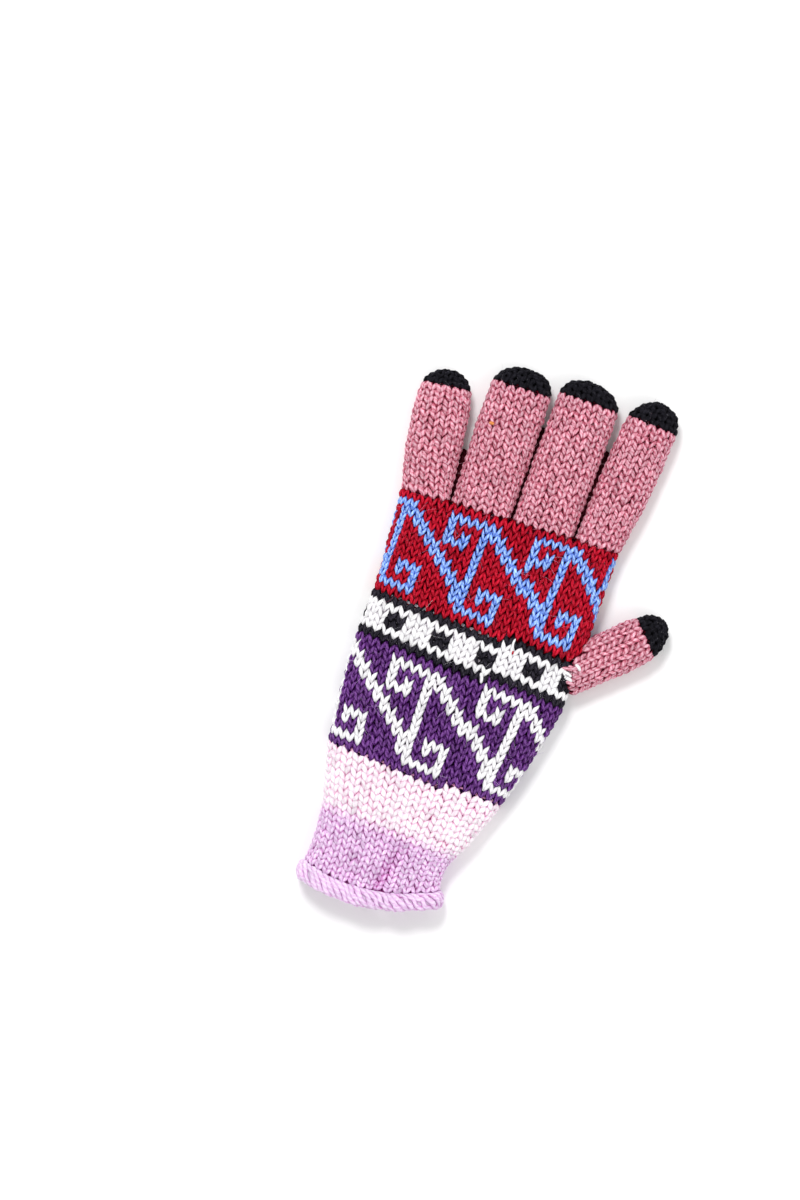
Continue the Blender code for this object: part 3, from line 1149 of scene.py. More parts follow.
class KnitBand(YarnWork):
    """Stockinette laid on one tube.

    Args:
        name: The piece's name.
        slot: The record's material slot.
        form: The tube that it lies on.
        gauge: How it is knit.
        chart: Which yarn a stitch has, from its round and its column.
        ground: The yarn whose painted shade colours the sheet behind it.
        yarn: The yarn's size.
        hidden: Tests which places lie inside another tube and are left out.
        fade: Changes a stitch's colour by its place, where the yarn is dyed in a fade.
        creases: Creases in the upper side, which press the stitches down and darken them with painted shade.
    """

    # Depths over which a stitch's colour goes into the painted shade: down the loop, as a share of the
    # yarn's height, and down a crease, in metres
    PAINTED_SHADE_DEPTH = 0.85
    CREASE_SHADE_DEPTH = 0.0044
    WIDTH_AT = 0.4
    FEWEST = 5
    TIP_SCALES = (0.6, 1.2)
    FLAT_SHARE = 0.6
    SHEET_STEP = 2

    def __init__(
        self,
        name: str,
        slot: str,
        form: TubeForm,
        gauge: Gauge,
        chart: Chart,
        ground: Yarn,
        yarn: YarnSize = YarnSize(),
        hidden: Optional[Test] = None,
        fade: Optional[Shade] = None,
        creases: Sequence[Crease] = (),
    ) -> None:
        """Keeps what the band is knit from, and starts its own draws."""
        super().__init__(name, slot, form.node)
        self.form = form
        self.gauge = gauge
        self.chart = chart
        self.ground = ground
        self.yarn = yarn
        self.hidden = hidden
        self.fade = fade
        self.creases = creases
        self.uneven = Unevenness()
        self.rng = np.random.default_rng(SEED + sum(ord(letter) for letter in name))
        self.roots: list[np.ndarray] = []

    def _colours(self, rounds: np.ndarray, columns: np.ndarray, points: np.ndarray) -> np.ndarray:
        """Works out each stitch's colours.

        Args:
            rounds: The round of each stitch.
            columns: The column of each stitch.
            points: The middle of each stitch.

        Returns:
            The tint, painted shade and painted highlight of each stitch, in nine columns.
        """
        colours = []
        for j, i in zip(rounds.tolist(), columns.tolist()):
            yarn = self.chart(j, i).value
            colours.append(yarn.columns() * (1 + yarn.spread * self.rng.standard_normal()))
        result = np.array(colours)
        return result if self.fade is None else self.fade(points, result)

    def _drop(self, points: np.ndarray, normals: np.ndarray) -> np.ndarray:
        """Adds up how deep the creases press places down.

        Args:
            points: Points of the part.
            normals: Their outward directions.

        Returns:
            The depth at each, in metres.
        """
        return sum((crease.drop(points, normals) for crease in self.creases), np.zeros(len(points)))

    def _rise(self, place: np.ndarray, around: np.ndarray, rise: np.ndarray) -> np.ndarray:
        """Lifts a spiral band's stitches along their round, level at the band's ends.

        Args:
            place: Each path point's place around, in stitches.
            around: Stitches in its round.
            rise: Its place along, in rounds.

        Returns:
            Its place along, in rounds, on the spiral.
        """
        gauge = self.gauge
        if gauge.flow is not Flow.SPIRAL:
            return rise
        lift = place / around[:, None] - 0.5
        if gauge.flat_start > 0:
            lift = lift * np.clip(rise / gauge.flat_start, 0.0, 1.0)
        if gauge.flat_end > 0:
            lift = lift * np.clip((gauge.rounds - rise) / gauge.flat_end, 0.0, 1.0)
        return rise + lift

    def knit(self) -> None:
        """Lays every stitch, and the sheet behind them."""
        form, gauge, yarn, uneven = self.form, self.gauge, self.yarn, self.uneven
        pitch = (form.length + gauge.stop - gauge.start) / gauge.rounds
        width = form.round_length(0.0 if form.pole else form.length * self.WIDTH_AT) / gauge.around
        shape = StitchShape(width, pitch, yarn.tall, yarn.rings)
        lengths = [form.round_length((j + 0.5) * pitch) for j in range(gauge.rounds)]
        counts = [gauge.around] * gauge.rounds
        if form.pole:
            counts = [max(int(round(length / width)), self.FEWEST) for length in lengths]
        rounds = np.repeat(np.arange(gauge.rounds), counts)
        columns = np.concatenate([np.arange(count) for count in counts])
        around = np.array(counts)[rounds]
        number = len(rounds)

        spread = np.array([uneven.across, uneven.along, uneven.out]).reshape(3, 1, 1, 1)
        shifts = self.rng.standard_normal((3, 2, number, 1)) * spread
        stray = sum(shifts[:, side] * leg[None, None, :] for side, leg in enumerate(shape.legs))
        swell = sum(self.rng.standard_normal((number, 1)) * leg[None, :] for leg in shape.legs)
        plump = 1 + uneven.plump * swell

        place = columns[:, None] + 0.5 + shape.x[None, :] + stray[0]
        upper_left = np.clip(place / around[:, None] * 2, 0.0, 1.0)
        shares = -(place + gauge.drift * np.sin(math.pi * upper_left) ** 2) / around[:, None]
        rise = self._rise(place, around, rounds[:, None] + 0.5 + shape.y[None, :] + stray[1])
        depth = yarn.tall * (shape.depth[None, :] - 0.5) - yarn.sink + stray[2]
        distance = (rise * pitch + gauge.start).reshape(-1)
        outside, normals = form.surface(shares.reshape(-1), distance)
        drop = self._drop(outside, normals)
        centres = (outside + normals * (depth.reshape(-1) - drop)[:, None]).reshape(number, -1, 3)
        normals = normals.reshape(number, -1, 3)

        stitches = centres[:, np.argmax(shape.depth)]
        keep = np.ones(number, bool) if self.hidden is None else ~self.hidden(stitches)
        colours = self._colours(rounds, columns, stitches)
        half = self.rng.standard_normal((number, 2, 1)) * uneven.tone
        tone = 1 + half[:, 0] * shape.legs[0][None, :] + half[:, 1] * shape.legs[1][None, :]
        rows = np.clip(colours[:, None, :] * tone[:, :, None], 0.0, 1.0)
        # Painted shade and highlight: the deeper a point of the loop lies, and the deeper a crease presses
        # it, the nearer its colour goes to the painted shade; the top of a leg gets the painted highlight
        out = 1.0 + shape.depth[None, :] / self.PAINTED_SHADE_DEPTH - drop.reshape(number, -1) / self.CREASE_SHADE_DEPTH
        rows = np.concatenate([rows, np.clip(out, 0.0, 1.0)[:, :, None]], axis=2)

        scale = np.array(lengths)[rounds] / width / around if form.pole else np.ones(number)
        scale = np.clip(scale, *self.TIP_SCALES)[:, None]
        wide = width * yarn.wide_share / 2 * shape.plump[None, :] * plump * scale
        flat = self.FLAT_SHARE + (1 - self.FLAT_SHARE) * shape.plump[None, :]
        tall = yarn.tall / 2 * flat * plump
        reached = np.arange(number)[:, None] * shape.length + shape.reached[None, :]

        for start, stop, closed in self._runs(keep, counts):
            run = slice(start, stop)
            paths = [values[run].reshape(-1, 3) for values in (centres, normals)]
            halves = [values[run].reshape(-1) for values in (wide, tall)]
            corners = sweep(*paths, *halves, yarn.sides, closed)
            run_rows = rows[run].reshape(-1, COLOUR_COLUMNS)
            self.parts.add_tube(corners, run_rows, reached[run].reshape(-1), closed)
        for leg in shape.legs:
            top = int(np.argmax(leg))
            row = [centres[keep, top], normals[keep, top], colours[keep]]
            self.roots.append(np.concatenate(row, axis=1))
        self._line()

    def _runs(self, keep: np.ndarray, counts: Sequence[int]) -> list[tuple[int, int, bool]]:
        """Splits the stitches into unbroken stretches of yarn.

        Args:
            keep: False for stitches that are left out.
            counts: Stitches in each round.

        Returns:
            Start, stop and whether the stretch closes, for each.
        """
        spans = [(0, len(keep))]
        if self.gauge.flow is Flow.CLOSED:
            borders = [0, *np.cumsum(counts).tolist()]
            spans = list(zip(borders[:-1], borders[1:]))
        runs = []
        for low, high in spans:
            if self.gauge.flow is Flow.CLOSED and keep[low:high].all():
                runs.append((low, high, True))
                continue
            edges = np.flatnonzero(np.diff(np.concatenate([[False], keep[low:high], [False]]).astype(int)))
            runs.extend((low + start, low + stop, False) for start, stop in edges.reshape(-1, 2).tolist())
        return runs

    def _line(self) -> None:
        """Adds the sheet that stands for the backs of the stitches; its colour is the ground yarn's painted
        shade, lighter only on its back faces.
        """
        form, yarn = self.form, self.yarn
        last = len(form.grid) if form.pole else len(form.grid) - form.PAD
        grid = form.grid[form.PAD : last, :: self.SHEET_STEP]
        normals = form.normals[form.PAD : last, :: self.SHEET_STEP]
        deep = yarn.back * yarn.tall + yarn.sink
        room = form.around[form.PAD : last] / (2 * math.pi) / deep
        depth = deep * np.clip(room, 0.0, 1.0)[:, None, None]
        sheet = form.placement.to_part((grid - normals * depth).reshape(-1, 3))
        outward = (normals @ form.placement.axes()).reshape(-1, 3)
        sheet = sheet - outward * self._drop(sheet, outward)[:, None]
        colours = np.tile(self.ground.value.columns(), (len(sheet), 1))
        if self.fade is not None:
            colours = self.fade(sheet, colours)
        keep = None
        if self.hidden is not None:
            inside = self.hidden(sheet).reshape(grid.shape[:2])
            cells = inside & np.roll(inside, -1, axis=1)
            keep = ~(cells[:-1] & cells[1:])
        # The sheet takes the painted shade colour
        rows = colour_rows(colours, 0.0, len(sheet))
        self.parts.add_sheet(sheet.reshape(*grid.shape[:2], 3), rows, keep)


def plain(yarn: Yarn) -> Chart:
    """Makes the chart of a plain band.

    Args:
        yarn: Its yarn.

    Returns:
        The chart.
    """
    return lambda round_number, column: yarn


def fret_chart(ground: Yarn, figure: Yarn, offset: int) -> Chart:
    """Makes the chart of a fret band, with one plain round below and above the fret.

    Args:
        ground: The yarn around the fret.
        figure: The yarn of the fret.
        offset: The fret's column that the first column of the band has.

    Returns:
        The chart.
    """

    def chart(round_number: int, column: int) -> Yarn:
        """Looks a stitch up in the fret."""
        row = len(FRET) - round_number
        if not 0 <= row < len(FRET):
            return ground
        line = FRET[row]
        return figure if line[(offset - column) % len(line)] == "X" else ground

    return chart


def dotted_chart(round_number: int, column: int) -> Yarn:
    """Gives the yarns of the dotted band: dark lines around a white band with dark squares.

    Args:
        round_number: The stitch's round.
        column: The stitch's column.

    Returns:
        The yarn.
    """
    if round_number in DARK_ROUNDS:
        return Yarn.BLACK
    under = UNDER_COLUMNS[0] <= column <= UNDER_COLUMNS[1]
    if round_number in SQUARE_ROUNDS and (column - under) % SQUARE_REPEAT < SQUARE_WIDTH:
        return Yarn.BLACK
    return Yarn.WHITE


@dataclass(frozen=True)
class YarnFinish:
    """How the yarn looks close up.

    Args:
        name: The material's name.
        plies: Strands twisted into the yarn.
        twist: Length of one turn of the twist, in metres.
        relief: How much the strands' crowns and grooves show, as painted highlight and painted shade, as a
            share of the way between those colours.
        round_share: How much the colour turns to the painted shade down the sides of a yarn, likewise.
        bump: Strength of the relief.
        bump_height: Its height, in metres.
        roughness: Roughness of the fibres.
        specular: Strength of their highlight.
        inside: How far out, from the painted shade to the painted highlight, its back faces look, as a
            share; 0 for a yarn without a back.
        sheen: Strength of the soft sheen.
        sheen_roughness: How far it spreads.
        scatter: How much of the light goes through the fibres, as a share.
        scatter_depth: How far it goes, in metres.
    """

    name: str
    plies: float = 3.0
    twist: float = 0.0075
    relief: float = 0.16
    round_share: float = 0.60
    bump: float = 0.40
    bump_height: float = 0.0003
    roughness: float = 0.88
    specular: float = 0.06
    inside: float = 0.0
    sheen: float = 0.0
    sheen_roughness: float = 0.45
    scatter: float = 0.35
    scatter_depth: float = 0.0012

    def build(self, detail: bpy.types.NodeTree) -> bpy.types.Material:
        """Makes the material.

        Args:
            detail: The node group that gives the strands' colour and height.

        Returns:
            The material.
        """
        material = bpy.data.materials.new(self.name)
        material.use_nodes = True
        nodes, links = material.node_tree.nodes, material.node_tree.links
        shader = nodes["Principled BSDF"]
        for socket, value in {
            "Sheen Weight": self.sheen,
            "Sheen Roughness": self.sheen_roughness,
            "Specular IOR Level": self.specular,
            "Subsurface Weight": self.scatter,
            "Subsurface Scale": self.scatter_depth,
            "Subsurface Radius": (1.0, 1.0, 1.0),
        }.items():
            shader.inputs[socket].default_value = value
        group = nodes.new("ShaderNodeGroup")
        group.node_tree = detail
        for socket, value in {
            "Plies": self.plies,
            "Twist": self.twist,
            "Relief": self.relief,
            "Round": self.round_share,
            "Roughness": self.roughness,
        }.items():
            group.inputs[socket].default_value = value
        # The yarn's tint, its painted shade and its painted highlight
        for label, socket in ((YARN_COLOUR, "Tint"), (YARN_SHADE, "Painted Shade"), (YARN_PAINTED_HIGHLIGHT, "Painted Highlight")):
            colour = nodes.new("ShaderNodeAttribute")
            colour.attribute_name = label
            links.new(colour.outputs["Color"], group.inputs[socket])
        # How far out a point lies, lifted on back faces, picks its place between the painted shade and the
        # painted highlight
        out = nodes.new("ShaderNodeMath")
        out.operation = "MULTIPLY_ADD"
        out.inputs[1].default_value = self.inside
        links.new(nodes.new("ShaderNodeNewGeometry").outputs["Backfacing"], out.inputs[0])
        links.new(colour.outputs["Alpha"], out.inputs[2])
        links.new(out.outputs[0], group.inputs["Out"])
        uv = nodes.new("ShaderNodeUVMap")
        uv.uv_map = YARN_UV
        place = nodes.new("ShaderNodeTexCoord")
        bump = nodes.new("ShaderNodeBump")
        bump.inputs["Strength"].default_value = self.bump
        bump.inputs["Distance"].default_value = self.bump_height
        links.new(uv.outputs["UV"], group.inputs["Yarn"])
        links.new(place.outputs["Object"], group.inputs["Place"])
        links.new(group.outputs["Colour"], shader.inputs["Base Color"])
        links.new(group.outputs["Roughness"], shader.inputs["Roughness"])
        links.new(group.outputs["Height"], bump.inputs["Height"])
        links.new(bump.outputs["Normal"], shader.inputs["Normal"])
        return material


Value = Union[bpy.types.NodeSocket, float]


@dataclass(frozen=True)
class Noise:
    """One noise over the part.

    Args:
        scale: Its scale, in cells a metre.
        octaves: Its octaves.
        share: How much it changes.
    """

    scale: float
    octaves: float
    share: float


class ShaderKit:
    """Makes the shared node group."""

    WANDER = Noise(420.0, 2.0, 1.1)
    FIBRES = Noise(1700.0, 3.0, 0.8)
    DYE = Noise(90.0, 2.0, 0.12)
    OUT_SHARE = 0.86
    ROUGHNESS_SHARE = 0.2
    FIBRE_HEIGHT = 0.5

    @staticmethod
    def _group(
        name: str, inputs: Sequence[tuple[str, str]], outputs: Sequence[tuple[str, str]]
    ) -> tuple[bpy.types.NodeTree, bpy.types.Node, bpy.types.Node]:
        """Makes an empty node group.

        Args:
            name: Its name.
            inputs: The name and socket type of each input.
            outputs: The name and socket type of each output.

        Returns:
            The group, its input node and its output node.
        """
        tree = bpy.data.node_groups.new(name, "ShaderNodeTree")
        for label, kind in inputs:
            tree.interface.new_socket(label, in_out="INPUT", socket_type=kind)
        for label, kind in outputs:
            tree.interface.new_socket(label, in_out="OUTPUT", socket_type=kind)
        return tree, tree.nodes.new("NodeGroupInput"), tree.nodes.new("NodeGroupOutput")

    @staticmethod
    def _math(
        tree: bpy.types.NodeTree,
        operation: str,
        first: Value,
        second: Optional[Value] = None,
        third: Optional[Value] = None,
    ) -> bpy.types.NodeSocket:
        """Adds a maths node.

        Args:
            tree: The group that it goes into.
            operation: What it does.
            first: A socket or a number.
            second: A socket or a number.
            third: A socket or a number.

        Returns:
            Its result.
        """
        node = tree.nodes.new("ShaderNodeMath")
        node.operation = operation
        for socket, value in zip(node.inputs, (first, second, third)):
            if isinstance(value, bpy.types.NodeSocket):
                tree.links.new(value, socket)
            elif value is not None:
                socket.default_value = value
        return node.outputs[0]

    @staticmethod
    def _mix(
        tree: bpy.types.NodeTree,
        share: bpy.types.NodeSocket,
        first: bpy.types.NodeSocket,
        second: bpy.types.NodeSocket,
    ) -> bpy.types.NodeSocket:
        """Adds a colour mix.

        Args:
            tree: The group that it goes into.
            share: The socket that gives the second colour's share.
            first: The first colour's socket.
            second: The second colour's socket.

        Returns:
            The mixed colour's socket.
        """
        node = tree.nodes.new("ShaderNodeMix")
        node.data_type = "RGBA"
        tree.links.new(share, node.inputs["Factor"])
        tree.links.new(first, node.inputs["A"])
        tree.links.new(second, node.inputs["B"])
        return node.outputs["Result"]

    @staticmethod
    def _noise(
        tree: bpy.types.NodeTree, place: bpy.types.NodeSocket, noise: Noise
    ) -> bpy.types.NodeSocket:
        """Adds a noise.

        Args:
            tree: The group that it goes into.
            place: The socket that gives its coordinates.
            noise: Its scale and octaves.

        Returns:
            Its value's socket.
        """
        node = tree.nodes.new("ShaderNodeTexNoise")
        node.inputs["Scale"].default_value = noise.scale
        node.inputs["Detail"].default_value = noise.octaves
        tree.links.new(place, node.inputs["Vector"])
        return node.outputs["Fac"]

    def strands(self) -> bpy.types.NodeTree:
        """Makes the group for twisted strands: their colour, painted darker in the plies' grooves and down
        the yarn's sides and lighter on top, their fibres and their relief.

        Returns:
            The group.
        """
        tree, given, out = self._group(
            "twisted_strands",
            [
                ("Tint", "NodeSocketColor"),
                ("Painted Shade", "NodeSocketColor"),
                ("Painted Highlight", "NodeSocketColor"),
                ("Out", "NodeSocketFloat"),
                ("Yarn", "NodeSocketVector"),
                ("Place", "NodeSocketVector"),
                ("Plies", "NodeSocketFloat"),
                ("Twist", "NodeSocketFloat"),
                ("Relief", "NodeSocketFloat"),
                ("Round", "NodeSocketFloat"),
                ("Roughness", "NodeSocketFloat"),
            ],
            [("Colour", "NodeSocketColor"), ("Roughness", "NodeSocketFloat"), ("Height", "NodeSocketFloat")],
        )
        take = given.outputs
        math_node = partial(self._math, tree)
        split = tree.nodes.new("ShaderNodeSeparateXYZ")
        tree.links.new(take["Yarn"], split.inputs[0])
        turn = split.outputs["X"]
        wander = self._noise(tree, take["Place"], self.WANDER)
        fibres = self._noise(tree, take["Place"], self.FIBRES)
        dye = self._noise(tree, take["Place"], self.DYE)
        along = math_node("DIVIDE", split.outputs["Y"], take["Twist"])
        phase = math_node("MULTIPLY", math_node("ADD", turn, along), take["Plies"])
        phase = math_node("ADD", phase, math_node("MULTIPLY", wander, self.WANDER.share))
        wave = math_node("SINE", math_node("MULTIPLY", phase, 2 * math.pi))
        # Painted shade down the yarn's sides, none on its top
        top = math_node("SINE", math_node("MULTIPLY", turn, 2 * math.pi))
        # How far out a point lies and the plies' twist move it between the painted shade and the painted
        # highlight
        level = math_node("MULTIPLY", take["Out"], self.OUT_SHARE)
        level = math_node("MULTIPLY_ADD", wave, take["Relief"], level)
        side = math_node("MULTIPLY", math_node("SUBTRACT", 1.0, top), take["Round"])
        level = math_node("SUBTRACT", level, side)
        for noise, value in ((self.FIBRES, fibres), (self.DYE, dye)):
            level = math_node("ADD", level, math_node("MULTIPLY_ADD", value, noise.share, -noise.share / 2))
        # From the painted shade through the tint to the painted highlight
        lower = math_node("MULTIPLY", level, 2.0)
        upper = math_node("MULTIPLY_ADD", level, 2.0, -1.0)
        colour = self._mix(tree, lower, take["Painted Shade"], take["Tint"])
        colour = self._mix(tree, upper, colour, take["Painted Highlight"])
        tree.links.new(colour, out.inputs["Colour"])
        rough = math_node("MULTIPLY_ADD", fibres, self.ROUGHNESS_SHARE, -self.ROUGHNESS_SHARE / 2)
        tree.links.new(math_node("ADD", rough, take["Roughness"]), out.inputs["Roughness"])
        ridges = math_node("MULTIPLY_ADD", wave, 0.5, 0.5)
        height = math_node("MULTIPLY_ADD", fibres, self.FIBRE_HEIGHT, ridges)
        tree.links.new(height, out.inputs["Height"])
        return tree


@dataclass(frozen=True)
class FloorSize:
    """The floor under the glove.

    Args:
        side: Its side in metres.
        drop: How far it lies below the glove.
        tones: Its darkest and lightest tone.
        tone_scale: Scale of their noise.
        roughness: Its roughness.
        specular: Strength of its highlight.
    """

    side: float = 6.0
    drop: float = 0.0002
    tones: tuple[float, float] = (0.93, 0.95)
    tone_scale: float = 14.0
    roughness: float = 0.9
    specular: float = 0.1


@dataclass(frozen=True)
class SoftLight:
    """One round soft light that looks at the glove.

    Args:
        name: Its name.
        place: Where it hangs, in metres.
        size: Its width in metres.
        power: Its power in watts.
    """

    name: str
    place: tuple[float, float, float]
    size: float
    power: float


LIGHTS = (
    SoftLight("key_light", (-0.70, 0.85, 1.50), 0.60, 21.0),
    SoftLight("fill_light", (1.1, -0.5, 1.3), 1.2, 7.0),
)


class Studio:
    """The pale floor, the soft light and the camera above it."""

    LEAN = math.radians(22.0)
    MIDDLE = (-0.0363, 0.0086)
    PHOTO_HEIGHT = 0.540
    DISTANCE = 1.60
    SENSOR = 36.0
    AMBIENT = 0.70

    def __init__(self, floor: FloorSize = FloorSize()) -> None:
        """Keeps the floor's sizes."""
        self.floor = floor

    def build(self) -> None:
        """Makes the floor, the lights, the surroundings and the camera."""
        self._floor()
        self._lights()
        self._camera()

    def _floor(self) -> None:
        """Makes the floor."""
        floor = self.floor
        bpy.ops.object.select_all(action="DESELECT")
        bpy.ops.mesh.primitive_plane_add(size=floor.side, location=(0.0, 0.0, 0.0))
        plane = bpy.context.active_object
        plane.name = "floor"
        for vertex in plane.data.vertices:
            vertex.co.z = -floor.drop
        material = bpy.data.materials.new("pale_paper")
        material.use_nodes = True
        nodes, links = material.node_tree.nodes, material.node_tree.links
        shader = nodes["Principled BSDF"]
        shader.inputs["Roughness"].default_value = floor.roughness
        shader.inputs["Specular IOR Level"].default_value = floor.specular
        place = nodes.new("ShaderNodeTexCoord")
        noise = nodes.new("ShaderNodeTexNoise")
        noise.inputs["Scale"].default_value = floor.tone_scale
        ramp = nodes.new("ShaderNodeValToRGB")
        for element, tone in zip(ramp.color_ramp.elements, floor.tones):
            element.color = (tone, tone, tone, 1.0)
        links.new(place.outputs["Object"], noise.inputs["Vector"])
        links.new(noise.outputs["Fac"], ramp.inputs["Fac"])
        links.new(ramp.outputs["Color"], shader.inputs["Base Color"])
        plane.data.materials.append(material)

    def _lights(self) -> None:
        """Makes one large soft light, a weaker one across from it and the pale surroundings."""
        for kind in LIGHTS:
            data = bpy.data.lights.new(kind.name, "AREA")
            data.shape = "DISK"
            data.size = kind.size
            data.energy = kind.power
            light = bpy.data.objects.new(kind.name, data)
            bpy.context.scene.collection.objects.link(light)
            light.location = kind.place
            x, y, z = kind.place
            light.rotation_euler = (math.atan2(math.hypot(x, y), z), 0.0, math.atan2(x, -y))
        world = bpy.data.worlds.new("studio")
        world.use_nodes = True
        background = world.node_tree.nodes["Background"]
        background.inputs["Color"].default_value = (1.0, 1.0, 1.0, 1.0)
        background.inputs["Strength"].default_value = self.AMBIENT
        bpy.context.scene.world = world

    def _camera(self) -> None:
        """Makes the camera, straight above and turned as in the photo."""
        data = bpy.data.cameras.new("photo_camera")
        data.sensor_fit = "VERTICAL"
        data.sensor_height = self.SENSOR
        data.lens = self.SENSOR * self.DISTANCE / self.PHOTO_HEIGHT
        camera = bpy.data.objects.new("photo_camera", data)
        bpy.context.scene.collection.objects.link(camera)
        camera.location = (*self.MIDDLE, self.DISTANCE)
        camera.rotation_euler = (0.0, 0.0, self.LEAN)
        bpy.context.scene.camera = camera
        bpy.context.scene.view_settings.view_transform = "Standard"


@dataclass(frozen=True)
class RollSize:
    """The rolled edge of the mouth.

    Args:
        starts: Strands that wind around it side by side.
        turns: Turns of each strand around the roll on its way around the mouth.
        steps: Path points in a turn.
        strand: Radius of a strand in metres.
        sides: Corners of a strand's cross-section.
        oval: Its width, as a share of its height.
        below: How far the roll reaches below the cuff's outside, in metres.
        ahead: How far along the cuff its direction is taken, in metres.
        lift: How far above the floor the strands stay, in metres.
        wander: How far a strand strays around the roll, in radians.
        wander_knots: How often it does.
        swell: How much its thickness differs, as a share.
        tone: How much its lightness differs, as a share.
        knots: How often they do.
        sheet_inset: How deep the sheet behind the strands lies, in strand radii.
        sheet_lift: How far above the floor it stays, in metres.
        sheet_out: How far out it looks, from the painted shade to the painted highlight.
        sheet_grid: Its cells around the mouth and rows around the roll.
    """

    starts: int = 6
    turns: int = 8
    steps: int = 40
    strand: float = 0.00115
    sides: int = 8
    oval: float = 1.08
    below: float = 0.0026
    ahead: float = 0.003
    lift: float = 0.0001
    wander: float = 0.16
    wander_knots: int = 70
    swell: float = 0.16
    tone: float = 0.05
    knots: int = 90
    sheet_inset: float = 1.3
    sheet_lift: float = 0.0006
    sheet_out: float = 0.75
    sheet_grid: tuple[int, int] = (96, 13)


class RolledEdge(YarnWork):
    """The edge of the cuff, rolled outwards into a soft rope of slanting strands.

    Args:
        cuff: The cuff's form, whose start is the line that the roll follows.
        size: The roll's sizes.
    """

    def __init__(self, cuff: TubeForm, size: RollSize = RollSize()) -> None:
        """Measures the roll's node against the cuff."""
        super().__init__("rolled_edge", "lilac_knit", "cuff_roll")
        self.cuff = cuff
        self.size = size
        low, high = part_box(self.node)
        cuff_low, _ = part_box(cuff.node)
        self.length = float(cuff_low.y - low.y)
        around = np.linspace(0, 1, size.sheet_grid[0] + 1)
        mouth, _ = cuff.surface(around, np.zeros_like(around))
        self.bulge = float(high.z - mouth[:, 2].max())

    def _rope(self, share: np.ndarray, angle: np.ndarray, inset: float) -> tuple[np.ndarray, np.ndarray]:
        """Finds places on the roll's oval cross-section.

        Args:
            share: How far around the mouth.
            angle: How far around the roll, from its cuff side over its outside.
            inset: How far inside the oval, in metres.

        Returns:
            The points and their outward directions.
        """
        edge, out = self.cuff.surface(share, np.zeros_like(share))
        inner, _ = self.cuff.surface(share, np.full_like(share, self.size.ahead))
        ahead = unit(inner - edge)
        thick = (self.bulge + self.size.below) / 2
        middle = edge - ahead * (self.length / 2) + out * (self.bulge - thick)
        long_half, tall_half = self.length / 2 - inset, thick - inset
        c, s = np.cos(angle)[:, None], np.sin(angle)[:, None]
        points = middle + ahead * long_half * c + out * tall_half * s
        return points, unit(ahead * c / long_half + out * s / tall_half)

    def knit(self) -> None:
        """Winds the strands and lines them."""
        size = self.size
        lilac = Yarn.LILAC.value.columns()
        rng = np.random.default_rng(ROLL_SEED)
        count = size.turns * size.steps
        walk = np.arange(count) / count
        for start in range(size.starts):
            angle = 2 * math.pi * (walk * size.turns + start / size.starts)
            angle += size.wander * wavering(rng, walk, size.wander_knots)
            points, normals = self._rope(walk, angle, size.strand)
            points[:, 2] = np.maximum(points[:, 2], size.strand + size.lift)
            radius = size.strand * (1 + size.swell * wavering(rng, walk, size.knots))
            corners = sweep(points, normals, radius * size.oval, radius, size.sides, True)
            tone = 1 + size.tone * wavering(rng, walk, size.knots)
            colours = np.clip(lilac[None, :] * tone[:, None], 0, 1)
            self.parts.add_tube(corners, colour_rows(colours, 1.0, count), path_lengths(points), True)
        across = np.linspace(0, 1, size.sheet_grid[0], endpoint=False)
        angles = np.linspace(0, 2 * math.pi, size.sheet_grid[1])
        inset = size.strand * size.sheet_inset
        grid = np.array([self._rope(across, np.full_like(across, angle), inset)[0] for angle in angles])
        grid[:, :, 2] = np.maximum(grid[:, :, 2], size.sheet_lift)
        self.parts.add_sheet(grid, colour_rows(lilac, size.sheet_out, grid[..., 0].size))


@dataclass(frozen=True)
class FibreSize:
    """The stray fibres that stand off the yarn.

    Args:
        count: How many.
        radius: Their radius in metres.
        shortest: The shortest, in metres.
        longest: The longest, in metres.
        steps: Path points in one.
        sides: Corners of its cross-section.
        facing: How far up the place that it grows from looks, at least.
        start: How far outside its root it starts, in metres.
        flattest: The least height of its arch, as a share of its length.
        steepest: The greatest, likewise.
        arch: How much of a half wave the arch is.
        bend: How far it bends sideways, as a share of its length.
        clear: How high above the floor all of it lies, in metres.
        thick: Its radius at its root, in radii.
        thinning: How much less that is at its end.
    """

    count: int = 900
    radius: float = 0.000042
    shortest: float = 0.0018
    longest: float = 0.0075
    steps: int = 6
    sides: int = 3
    facing: float = 0.75
    start: float = 0.0007
    flattest: float = 0.15
    steepest: float = 0.55
    arch: float = 0.85
    bend: float = 0.45
    clear: float = 0.001
    thick: float = 1.05
    thinning: float = 0.75


